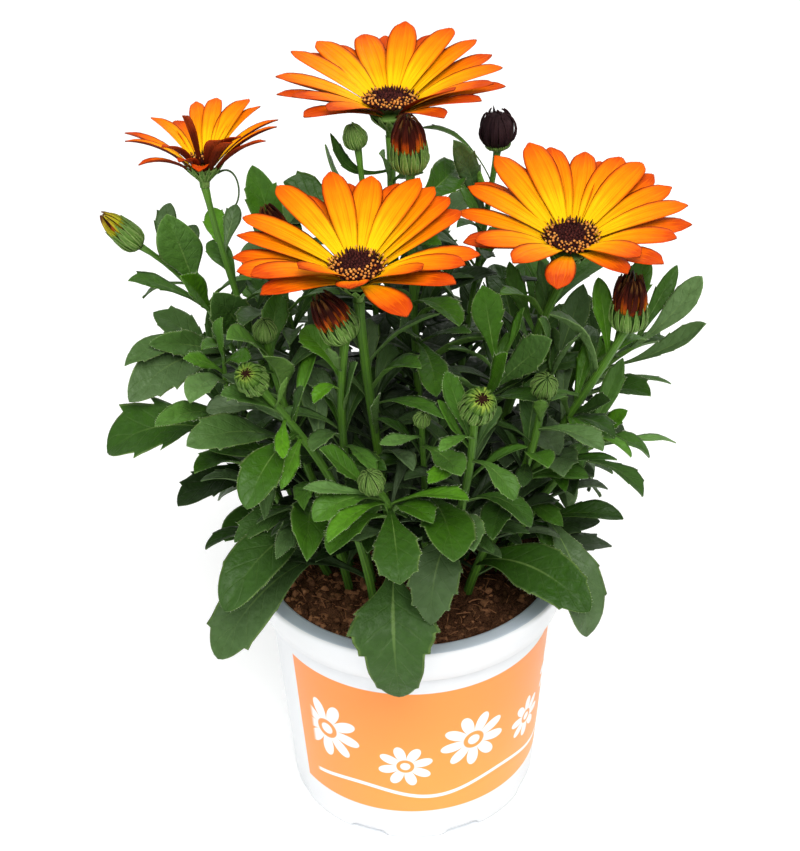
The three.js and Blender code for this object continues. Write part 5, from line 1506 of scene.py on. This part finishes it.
def add_ray(growth, head, index, rolled, draw, broad):
    azimuth_degrees, rise_degrees, reach = head["rays"][index]
    azimuth, rise = math.radians(azimuth_degrees), math.radians(rise_degrees)
    outward = np.array([math.cos(azimuth), math.sin(azimuth), 0])
    rises = [ray[1] + 0.01 * i for i, ray in enumerate(head["rays"])]
    before, own, after = (rises[(index + step) % len(rises)] for step in (-1, 0, 1))
    level = ray_levels(rises)[index]
    root = outward * 0.7 * head["hub"] + (0, 0, -4.0 + level)
    tip = outward * reach * math.cos(rise) + (0, 0, reach * math.sin(rise))
    s = RAY_STATIONS
    _, side, up = natural_lie(root, tip)
    corners = [root, (root + tip) / 2 + up * 3.6, tip]
    centre, heading = curve_points(corners, s), curve_headings(corners, s)
    slim = head["ray"] < 4
    shingle = np.sign(before - after) * (0.0 if slim else 0.08) if (before - own) * (own - after) > 0 else 0
    twist = shingle + draw.uniform(-0.05, 0.05) * s
    across = turned(side, heading, twist)
    normal = np.cross(heading, across)
    bend = draw.uniform(-0.5, 0.5)
    centre = centre + across * (bend * np.sin(np.pi * s))[:, None]
    curl = draw.uniform(-0.5, 0.3) if reach > 31 else draw.uniform(0.5, 2.2)
    if slim:
        curl = draw.uniform(-1.8, -0.4)
    centre = centre + normal * (curl * s ** 3)[:, None]
    sharp = np.where(s > 0.7, draw.uniform(0.85, 1.35), 1)
    half = RAY_WIDTHS ** sharp * head["ray"] * draw.uniform(0.9, 1.0)
    cup = draw.uniform(0.08, 0.17)
    if slim:
        cup = 0.3
        half = half * (1.08 if 30 < azimuth_degrees < 150 else 1) * broad
    if rolled:
        half, cup = half * 0.5, 1.5
    near = np.abs(RAY_COLUMNS)[None, :]
    height = cup * half[:, None] * near ** 1.7
    grooves = np.exp(-((near - 0.36) / 0.1) ** 2) + 0.5 * np.exp(-(near / 0.09) ** 2)
    height = height - 0.26 * grooves * np.sin(np.pi * np.clip(s, 0.04, 0.96))[:, None]
    thickness = 0.42 * np.sqrt(np.maximum(1 - near ** 2, 0)) * np.ones((len(s), 1))
    stops, steps = [-1, -0.62, -0.3, 0, 0.3, 0.62, 1], [-0.9, 0.1, -0.2, 0.35, -0.2, 0.1, -0.9]
    lobes = np.interp(RAY_COLUMNS, stops, steps)
    push = heading[:, None, :] * (np.clip((s - 0.9) / 0.1, 0, 1)[:, None] * lobes[None, :])[..., None]
    points, faces, uvs, uppers = blade_body(
        centre, across, normal, (half, half), RAY_COLUMNS, height, thickness, push
    )
    uvs[:, 1] = np.concatenate([np.repeat(s, 11), np.repeat(s, 9)])
    # Rays in the lowest layer are redder than those that lie over them. Painted shade: rays at the front of a
    # head, and more so on a head that leans back, get a higher, redder tone.
    tone = (0.4 if level else 0.68) + draw.uniform(-0.12, 0.12)
    if 190 < azimuth_degrees < 350:
        tone += 0.1 - 0.2 * outward[1] + (0.16 if head["axis"][1] > 0 else 0)
    crown = head["crown"]
    skins = [RAY_UPPER] * uppers + [RAY_UNDER] * (len(faces) - uppers)
    growth.add(seated(points, head["axis"], crown), faces, uvs, min(1.0, tone), skins)


draw = random.Random(21)
heads = {name: shoot["head"] for name, shoot in SHOOTS.items() if "head" in shoot}
BLOOMS = {name: head for name, head in heads.items() if head["kind"] == "bloom"}
for name, head in BLOOMS.items():
    top = np.array(SHOOTS[name]["stem"][3], float)
    head["crown"] = top + unit(head["axis"]) * head["depth"]
    growth = Growth(RAY_UPPER, RAY_UNDER)
    for index, (azimuth, _, _) in enumerate(head["rays"]):
        add_ray(growth, head, index, (name, azimuth) in ROLLED, draw, BROAD.get((name, azimuth), 1.0))
    growth.make("petals_" + name, "ray_florets", "rays_" + name)
print("rays:", sum(len(head["rays"]) for head in BLOOMS.values()))

# %% [markdown]
# The disc is a spiral of florets at the golden angle, like the seeds of a sunflower. In the
# middle they are closed dark buds. Further out they open into dark tubes with a ball of golden
# pollen, and round the edge stand pointed dark ones. A shallow dome carries them.

# %% Discs
BALL = np.array([(0, 0, 1), (0.89, 0, 0.45), (0.28, 0.85, 0.45), (-0.72, 0.53, 0.45), (-0.72, -0.53, 0.45),
                 (0.28, -0.85, 0.45), (0.72, 0.53, -0.45), (-0.28, 0.85, -0.45), (-0.89, 0, -0.45),
                 (-0.28, -0.85, -0.45), (0.72, -0.53, -0.45), (0, 0, -1)])
BALL_FACES = [(0, 1, 2), (0, 2, 3), (0, 3, 4), (0, 4, 5), (0, 5, 1), (1, 6, 2), (2, 7, 3), (3, 8, 4),
              (4, 9, 5), (5, 10, 1), (2, 6, 7), (3, 7, 8), (4, 8, 9), (5, 9, 10), (1, 10, 6),
              (11, 7, 6), (11, 8, 7), (11, 9, 8), (11, 10, 9), (11, 6, 10)]


def add_ball(growth, centre, size, axis, origin, tone, skin):
    points = BALL * np.asarray(size) + np.asarray(centre)
    growth.add(seated(points, axis, origin), BALL_FACES, np.full((12, 2), 0.5), tone, skin)


def add_spike(growth, foot, lean, height, radius, axis, origin, tone, skin):
    """A little cone with a belly: a tube floret or a pointed one."""
    angle = 2 * np.pi * np.arange(5) / 5
    rings = []
    for share, wide in ((0, 0.9), (0.55, 1), (1, 0.25)):
        centre = np.asarray(foot) + np.asarray(lean) * share * height
        rings.append(centre + np.stack([np.cos(angle), np.sin(angle), 0 * angle], -1) * radius * wide)
    tip = np.asarray(foot) + np.asarray(lean) * height * 1.12
    points, faces, _ = drum(np.stack(rings), foot, tip)
    growth.add(seated(points, axis, origin), faces, np.full((len(points), 2), 0.5), tone, skin)


def add_disc(growth, head, draw):
    radius, axis, crown = head["disc"], head["axis"], head["crown"]
    dome = [(0.5 * radius, -0.9), (0.94 * radius, 0), (0.9 * radius, 0.7), (0.65 * radius, 1.0),
            (0.3 * radius, 0.9)]
    turned_body(growth, dome, axis, crown, 0.1, FLORET)
    count = int(190 * (radius / 8) ** 2)
    for i in range(count):
        share = math.sqrt((i + 0.5) / count)
        angle = math.radians(GOLDEN_ANGLE) * i
        spot = np.array([math.cos(angle), math.sin(angle), 0])
        foot = spot * share * radius * 1.02 + (0, 0, 0.7 - 0.7 * share ** 4)
        if share < 0.5:
            size = np.array([0.4, 0.4, 0.6]) * draw.uniform(0.8, 1.2)
            top = foot + (0, 0, 0.4 + draw.uniform(0, 0.4))
            add_ball(growth, top, size, axis, crown, draw.uniform(0.1, 1), FLORET)
            continue
        lean = unit(spot * (share - 0.3) * 1.2 + (0, 0, 1))
        front = -spot[1]
        open_now = share < 0.97 and draw.random() < 0.5 + 0.38 * front
        height = draw.uniform(0.8, 1.6) if open_now else draw.uniform(1.3, 2.6)
        add_spike(growth, foot, lean, height, 0.34, axis, crown, draw.uniform(0, 0.9), FLORET)
        if open_now:
            top = foot + lean * (height * 1.1 + 0.3)
            add_ball(growth, top, 0.46 * draw.uniform(0.7, 1.25), axis, crown, draw.random(), POLLEN)


draw = random.Random(8)
for name, head in BLOOMS.items():
    growth = Growth(FLORET, POLLEN)
    add_disc(growth, head, draw)
    growth.make("florets_" + name, "disc_florets", "disc_" + name)
print("floret meshes:", len(BLOOMS))

# %% [markdown]
# A bud about to open is a tight twist of rolled rays above its cup. Each is a narrow blade,
# folded so that only its back shows, and three rows of them close over each other. The two
# buds that only just open show lime rays that lean in over a dark eye.

# %% Buds
BUD_FINISH = {"bud_dark": BUD_DARK, "bud_spent": BUD_SPENT, "bud_yellow": BUD_YELLOW, "bud_opening": BUD_LIME}


# The middle of a closed bud, in shares of its girth and its height.
BUD_CORES = {
    "bud_dark": [(0.72, 0.3), (0.6, 0.6), (0.25, 0.76)],
    "bud_spent": [(0.92, 0.2), (0.85, 0.5), (0.4, 0.7)],
    "bud_yellow": [(0.76, 0.2), (0.5, 0.5), (0.2, 0.62)],
}


def add_opening_rays(growth, shut, seat, axis, radius, tall, draw):
    """Lime rays that lean in over a dark eye. Those of a bud that is nearly shut are greener."""
    bowl = [(0.7 * radius, -2), (0.82 * radius, 0), (0.6 * radius, 0.9), (0.44 * radius, 1.2)]
    turned_body(growth, bowl, axis, seat, 0.1, BUD_LIME)
    eye = [(0.4 * radius, 0), (0.4 * radius, 1.25), (0.2 * radius, 1.5)]
    turned_body(growth, eye, axis, seat, 0.2, EYE, wobble=0.06)
    for i in range(12):
        angle, off = 2.4 * i, 0.1 * math.sqrt(i) * radius
        foot = (off * math.cos(angle), off * math.sin(angle), 1.1)
        add_spike(growth, foot, (0.1, 0.05, 1), 1.0, 0.32, axis, seat, draw.random(), EYE)
    for row, count in ((0, 13), (1, 12)):
        for i in range(count):
            angle = 2 * math.pi * (i + 0.5 * row) / count + draw.uniform(-0.07, 0.07)
            inner = (0.26 + 0.14 * row) * radius * draw.uniform(0.7, 1.25) * (0.8 if shut else 1)
            profile = [(0.7 * radius, -2.5), ((0.88 + 0.05 * row) * radius, 0),
                       ((0.76 + 0.06 * row) * radius, 0.72 * tall), (inner, tall * draw.uniform(0.6, 0.8))]
            tone = draw.random() * (0.35 if shut else 0.9)
            ring_blade(growth, profile, angle, 0.24 * radius, axis, seat, tone, BUD_LIME,
                       share=[0.9, 1, 0.85, 0.6, 0.06], lift=-0.5)


def add_closed_rays(growth, name, head, seat, axis, radius, tall, draw):
    """Three rows of rolled rays that close over each other."""
    colour = head["colour"]
    skin = BUD_FINISH[colour]
    shaggy, yellow = colour == "bud_spent", colour == "bud_yellow"
    core = [(0.6 * radius, -2), *scaled(BUD_CORES[colour], radius, tall)]
    turned_body(growth, core, axis, seat, 0.4, skin if shaggy else BUD_CORE)
    rows = [(13, 0.94, 0.84), (12, 0.86, 0.96), (8, 0.5, 1.0)]
    if yellow:
        rows = [(9, 0.94, 0.9), (8, 0.84, 1.0), (5, 0.5, 1.0)]
    for row, (count, out, top) in enumerate(rows):
        for i in range(count):
            angle = 2 * math.pi * (i + 0.5 * row) / count + draw.uniform(-0.1, 0.1)
            belly = radius * out * draw.uniform(0.95, 1.04)
            end, middle = 0.42 * draw.uniform(0.6, 1.2) * radius, 0.84
            height = tall * top * draw.uniform(0.9, 1.08)
            if row == 2:
                end = 0.2 * radius * draw.uniform(0.3, 1.3)
            if name == "bud_dark_right":
                end, middle = 0.66 * radius * draw.uniform(0.6, 1.15) * (1 - 0.2 * row), 0.86
            if yellow:
                end, middle, height = 0.2 * radius * draw.uniform(0.5, 1.2), 0.72, 0.76 * height
            profile = [(0.8 * belly, -2), (1.02 * belly, 0.16 * tall), (middle * belly, 0.78 * height),
                       (end, height)]
            if shaggy:
                belly = belly * draw.uniform(0.93, 1.05)
                end, height = 0.36 * radius * draw.uniform(0.2, 1.8), height * draw.uniform(0.72, 0.86)
                profile = [(0.32 * belly, -0.8 * head["cup"]), (1.3 * belly, -0.5 * head["cup"]),
                           (1.3 * belly, 0.8 * height), (end, height)]
            wide = (0.27 if row == 0 else 0.32) * radius * draw.uniform(0.8, 1.15)
            ring_blade(growth, profile, angle, wide, axis, seat, draw.uniform(0, 1), skin,
                       share=[0.7, 1, 0.85, 0.55, 0.06], lift=-0.9, thickness=0.6,
                       sweep=draw.uniform(-0.05, 0.35))


draw = random.Random(3)
for name, shoot in SHOOTS.items():
    head = shoot.get("head", {})
    if head.get("kind") == "bud":
        foot, axis, girth, length = bud_fit(name, head, np.array(shoot["stem"][3], float))
        seat = foot + axis * (head["cup"] * length + 0.3)
        growth = Growth(BUD_FINISH[head["colour"]], EYE, BUD_CORE)
        radius, tall = head["radius"] * girth, head["tuft"] * length
        if head["colour"] == "bud_opening":
            add_opening_rays(growth, name == "bud_opening_left", seat, axis, radius, tall, draw)
        else:
            add_closed_rays(growth, name, head, seat, axis, radius, tall, draw)
        growth.make("rolled_rays_" + name, head["colour"], "tuft_" + name)

# %% [markdown]
# The soil is coir and peat: a lumpy bed with thousands of loose crumbs and short fibres. A
# polar grid with noise makes the bed, and the crumbs are small balls pushed out of shape and
# sunk a third of the way in. Bed and crumbs are painted darker towards the right, as painted
# shade under the leaves.

# %% Soil
INNER_SLOPE = 6.3 / 87


def inner_radius(height):
    return 45.6 + INNER_SLOPE * height


def soil_height(x, y):
    point = Vector((x, y, 0))
    lumps = noise.noise(point * 0.11) * 2.6 + noise.noise(point * 0.3) * 2.4 + noise.noise(point * 0.8) * 1.3
    rim = max(0.0, (math.hypot(x, y) - 46) / 7)
    return 99.3 + lumps * (1 - 0.55 * rim) + 0.5 * rim


draw = random.Random(14)
growth = Growth(SOIL)
SIDES, RINGS = 210, 56
BOTTOM = 3.7
low, edge = inner_radius(BOTTOM) - 0.3, inner_radius(98) - 0.3
round_way = [2 * math.pi * j / SIDES for j in range(SIDES)]
rings = [[(low * math.cos(a), low * math.sin(a), BOTTOM) for a in round_way]]
tones = [0.3] * SIDES
for k in range(RINGS + 1):
    r = edge * (1 - (k / RINGS) ** 1.05 * 0.985)
    spots = [(r * math.cos(a), r * math.sin(a)) for a in round_way]
    rings.append([(x, y, soil_height(x, y)) for x, y in spots])
    # Painted shade: the bed's tone drops towards the right, where the leaves shade it. The noise gives real
    # patches.
    tones += [0.06 - 0.0015 * x + 0.14 * noise.noise(Vector((x * 0.4, y * 0.4, 3))) for x, y in spots]
points, faces, _ = drum(np.array(rings), (0, 0, BOTTOM), (0, 0, soil_height(0, 0)))
growth.add(points, faces, np.full((len(points), 2), 0.5), np.array(tones + [0.3, 0.5]), SOIL)

for i in range(4600):
    r, a = 51.3 * math.sqrt(draw.random()), draw.uniform(0, 2 * math.pi)
    size = draw.uniform(0.3, 0.8) if draw.random() < 0.75 else draw.uniform(0.8, 1.9)
    if i % 8 == 0:
        r, size = draw.uniform(49.5, 51.6), draw.uniform(0.6, 1.6)
    x, y = r * math.cos(a), r * math.sin(a)
    lumps = np.array([[draw.uniform(0.35, 1.4) for _ in range(3)] for _ in BALL])
    body = BALL * lumps * size * (1, 1, 0.75) + (x, y, soil_height(x, y) + 0.4 * size)
    # Painted shade: crumbs darken towards the right, under the leaves. The noise gives real patches.
    patch_and_painted_shade = 0.56 - 0.017 * x + 1.5 * noise.noise(Vector((x * 0.13, y * 0.13, 7)))
    tone = float(np.clip(draw.random() ** 4 * 2.8 * patch_and_painted_shade, 0, 1))
    growth.add(body, BALL_FACES, np.full((12, 2), 0.5), tone, SOIL)
for _ in range(320):
    r, a = 49 * math.sqrt(draw.random()), draw.uniform(0, 2 * math.pi)
    x, y = r * math.cos(a), r * math.sin(a)
    start = np.array([x, y, soil_height(x, y) + 0.2])
    way = polar_tip(np.zeros(3), draw.uniform(3, 9), draw.uniform(-2, 22), draw.uniform(0, 360))
    middle = start + way / 2 + (draw.uniform(-1, 1), draw.uniform(-1, 1), draw.uniform(0.3, 1.4))
    end = start + way
    if math.hypot(end[0], end[1]) > 51:
        continue
    s, strand = np.linspace(0, 1, 6), [start, middle, end]
    thin = np.full(6, draw.uniform(0.14, 0.26))
    body, faces, uvs = tube_body(curve_points(strand, s), curve_headings(strand, s), thin, 4)
    growth.add(body, faces, uvs, draw.uniform(0.5, 1), SOIL)
soil = growth.make("soil_bed", "potting_soil", "soil")
print("soil faces:", len(soil.data.polygons))

# %% [markdown]
# The pot is thin moulded plastic: blue-grey inside and on the lip, and printed white on the
# outside with an orange panel. The print is paint, so it belongs in the material. It is drawn
# from the wall's own coordinates in millimetres: x round the wall and y up it. The panel
# carries a plain motif of white daisies over a wavy line, and each daisy is the same node
# group with its own place and size.

# %% Pot finishes
PANEL = dict(left=-147.0, right=14.0, low=15.3, high=77.6)
WALL = 50.0

board, given, out = effect(
    "daisy_print",
    [("X", "Float"), ("Y", "Float"), ("Centre X", "Float"), ("Centre Y", "Float"), ("Radius", "Float"),
     ("Petals", "Float"), ("Turn", "Float")],
    [("Mask", "Float")],
)
dx = board.math("DIVIDE", board.math("SUBTRACT", given[0], given[2]), given[4])
dy = board.math("DIVIDE", board.math("SUBTRACT", given[1], given[3]), given[4])
distance = board.math("SQRT", board.math("ADD", board.times(dx, dx), board.times(dy, dy)))
around = board.math("ADD", board.math("ARCTAN2", dy, dx), given[6])
lobe = board.math("ABSOLUTE", board.math("COSINE", board.times(around, board.times(given[5], 0.5))))
edge_line = board.line(board.math("POWER", lobe, 0.6), 0.72, 0.28)
petals = board.ease(board.math("SUBTRACT", distance, edge_line), 0.02, -0.02)
petals = board.times(petals, board.ease(distance, 0.3, 0.34))
middle = board.ease(distance, 0.2, 0.16)
board.feed(out[0], board.math("MAXIMUM", petals, middle))
DAISY = board.tree

POT_PRINT, board, shader = finish_material("pot_print")
u, v = board.flat("blade")
x = board.times(board.line(u, 360.0, -270.0), WALL * math.pi / 180)
y = board.times(v, 102.0)


def millimetres_round(degrees):
    return degrees * WALL * math.pi / 180


left_edge, right_edge = millimetres_round(PANEL["left"]), millimetres_round(PANEL["right"])
inside = board.times(board.ease(x, left_edge - 0.15, left_edge + 0.15),
                    board.ease(x, right_edge + 0.15, right_edge - 0.15))
inside = board.times(inside, board.ease(y, PANEL["low"] - 0.15, PANEL["low"] + 0.15))
inside = board.times(inside, board.ease(y, PANEL["high"] + 0.15, PANEL["high"] - 0.15))
climb = board.ease(y, PANEL["low"], PANEL["high"])
panel = board.tint(climb, (0.88, 0.345, 0.07), (0.88, 0.285, 0.06))
panel = board.tint(board.ease(x, -60.0, left_edge, 0.0, 0.4), panel, (0.88, 0.24, 0.06))
white = None
# Each daisy's middle, radius, petals and turn.
DAISIES = [(-113, 50, 14, 9, 0.2), (-82, 40, 10.5, 8, 0.5), (-56, 49, 13, 9, 0.9), (-28, 43, 9.5, 8, 0.1),
           (-4, 52, 12, 9, 0.6)]
for daisy_x, daisy_y, radius, petals_count, turn in DAISIES:
    mask = board.use(DAISY, X=x, Y=y, Centre_X=float(daisy_x), Centre_Y=float(daisy_y), Radius=float(radius),
                     Petals=float(petals_count), Turn=turn)[0]
    white = mask if white is None else board.math("MAXIMUM", white, mask)
wave = board.line(board.math("SINE", board.times(x, 0.11)), 2.2, 25.5)
off_line = board.math("ABSOLUTE", board.math("SUBTRACT", y, wave))
white = board.math("MAXIMUM", white, board.ease(off_line, 1.0, 0.8))
white = board.times(white, board.ease(x, left_edge + 7, left_edge + 9))
colour = board.tint(white, panel, (0.82, 0.82, 0.81))
shell = board.use(MOTTLE, Point=board.place(), Scale=30.0)
paper = board.tint(board.times(shell[0], 0.3), (0.73, 0.75, 0.775), (0.77, 0.785, 0.8))
coat(board, shader, board.tint(inside, paper, colour), board.line(shell[0], 0.02, 0.34), 0.25)

POT_PLASTIC, board, shader = finish_material("pot_plastic")
shell = board.use(MOTTLE, Point=board.place(), Scale=40.0)
blue_grey = board.tint(shell[0], (0.42, 0.48, 0.56), (0.52, 0.58, 0.65))
coat(board, shader, blue_grey, board.line(shell[1], 0.12, 0.3))
emboss(board, shader, shell[1], 0.08 * MM, 0.5)
print("panel is", round(right_edge - left_edge), "mm round")

# %% [markdown]
# The pot's body is turned: one profile goes up the outside wall, round the skirt and lip, and
# down the inside. Eight shallow notches lift the edge of the foot so that water can drain, so
# the lowest rings rise there. Round holes in the floor are cut with a Boolean modifier, which
# is applied at once.

# %% Pot
NOTCHES, NOTCH_HALF, NOTCH_RISE = 8, 8.0, 2.6


def notch_rise(angle):
    """How far the foot's edge is lifted at an angle."""
    step = 2 * math.pi / NOTCHES
    off = abs((angle / step) % 1 - 0.5) * step * 46.9
    return NOTCH_RISE * min(1.0, max(0.0, (NOTCH_HALF - off) / 2.2))


# The wall from the middle below, up the outside, over the rim and down the inside:
# [radius, height, does it rise in a scallop, is it outside].
WALL = [
    (41.4, 0, 0, 0), (42.2, 0, 1, 0), (45.9, 0, 1, 0), (46.6, 0.15, 1, 1), (46.95, 0.6, 1, 1),
    (47.15, 3.5, 0, 1), (48.0, 15.3, 0, 1), (50.3, 46, 0, 1), (52.5, 77.6, 0, 1), (53.2, 87.4, 0, 1),
    (53.6, 92, 0, 1), (54.8, 92, 0, 1), (55.05, 87.3, 0, 1), (55.3, 87.0, 0, 1), (56.2, 87.0, 0, 1),
    (56.65, 87.4, 0, 1), (58.4, 94, 0, 1), (59.75, 99.5, 0, 1), (60, 100.6, 0, 1), (59.85, 101.4, 0, 1),
    (59.3, 101.9, 0, 1), (58.6, 102, 0, 0), (57.2, 101.85, 0, 0), (54.6, 101.6, 0, 0), (53.6, 101.3, 0, 0),
    (53.05, 100.6, 0, 0), (inner_radius(99), 99, 0, 0), (inner_radius(60), 60, 0, 0),
    (inner_radius(6), 6, 0, 0), (inner_radius(3.4) - 1.5, 3.4, 0, 0),
]
POT_SIDES = 192


def wall_corner(k, j):
    """A corner of the wall: its place in millimetres, and its place in the print."""
    r, z, lifted, _ = WALL[k]
    angle = 2 * math.pi * j / POT_SIDES - 1.5 * math.pi
    height = z + lifted * notch_rise(angle)
    return (r * math.cos(angle), r * math.sin(angle), height), (j / POT_SIDES, height / 102)


mesh = bpy.data.meshes.new("pot_shell")
corners = [wall_corner(k, j)[0] for k in range(len(WALL)) for j in range(POT_SIDES)]
faces, loops, skins = [], [], []
for k in range(len(WALL) - 1):
    outside = WALL[k][3] and WALL[k + 1][3]
    for j in range(POT_SIDES):
        quad = [(k, j), (k, j + 1), (k + 1, j + 1), (k + 1, j)]
        faces.append([row * POT_SIDES + side % POT_SIDES for row, side in quad])
        loops += [wall_corner(row, side)[1] for row, side in quad]
        skins.append(0 if outside else 1)
last = (len(WALL) - 1) * POT_SIDES
faces += [list(range(POT_SIDES))[::-1], list(range(last, last + POT_SIDES))]
loops += [(0.5, 0)] * 2 * POT_SIDES
skins += [1, 1]
mesh.from_pydata((np.array(corners) * MM).tolist(), [], faces)
for material in (POT_PRINT, POT_PLASTIC):
    mesh.materials.append(material)
mesh.polygons.foreach_set("material_index", skins)
mesh.polygons.foreach_set("use_smooth", [True] * len(mesh.polygons))
layer = mesh.uv_layers.new(name="blade")
layer.data.foreach_set("uv", np.array(loops, np.float32).ravel())
pot = bpy.data.objects.new("pot_shell", mesh)
scene.collection.objects.link(pot)

for i in range(4):
    bpy.ops.mesh.primitive_cylinder_add(vertices=28, radius=3.5 * MM, depth=12 * MM)
    drill = bpy.context.object
    angle = math.radians(45 * (2 * i + 0.5))
    drill.location = Vector((30 * math.cos(angle), 30 * math.sin(angle), 1.5)) * MM
    cut = pot.modifiers.new("drain", "BOOLEAN")
    cut.object = drill
    cut.solver = "EXACT"
    bpy.context.view_layer.objects.active = pot
    bpy.ops.object.modifier_apply(modifier=cut.name)
    bpy.data.objects.remove(drill)
pot.data.set_sharp_from_angle(angle=math.radians(38))
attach(pot, "root")
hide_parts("pot")
print("pot faces:", len(pot.data.polygons))

# %% [markdown]
# A plain pale floor carries the pot. It isn't part of the object, so it is marked as stage. A
# very soft noise keeps it from looking like paper.

# %% Floor
bpy.ops.mesh.primitive_plane_add(size=8, location=(0, 0, 0))
floor = bpy.context.object
floor.name = "floor"
FLOOR, board, shader = finish_material("floor")
soft = board.use(MOTTLE, Point=board.place(), Scale=3.0)
coat(board, shader, board.tint(soft[0], (0.9, 0.9, 0.89), (0.93, 0.93, 0.92)), 0.9)
shader.inputs["Emission Color"].default_value = (1, 1, 1, 1)
shader.inputs["Emission Strength"].default_value = 0.22
floor.data.materials.append(FLOOR)
floor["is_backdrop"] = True

# %% The size and the number of triangles
visual_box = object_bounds()
triangles = 0
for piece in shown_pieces():
    piece.data.calc_loop_triangles()
    triangles += len(piece.data.loop_triangles)
print("triangles:", triangles)
for name, low, high in zip("xyz", *visual_box):
    print(name, round(low / MM, 1), "to", round(high / MM, 1), "mm")
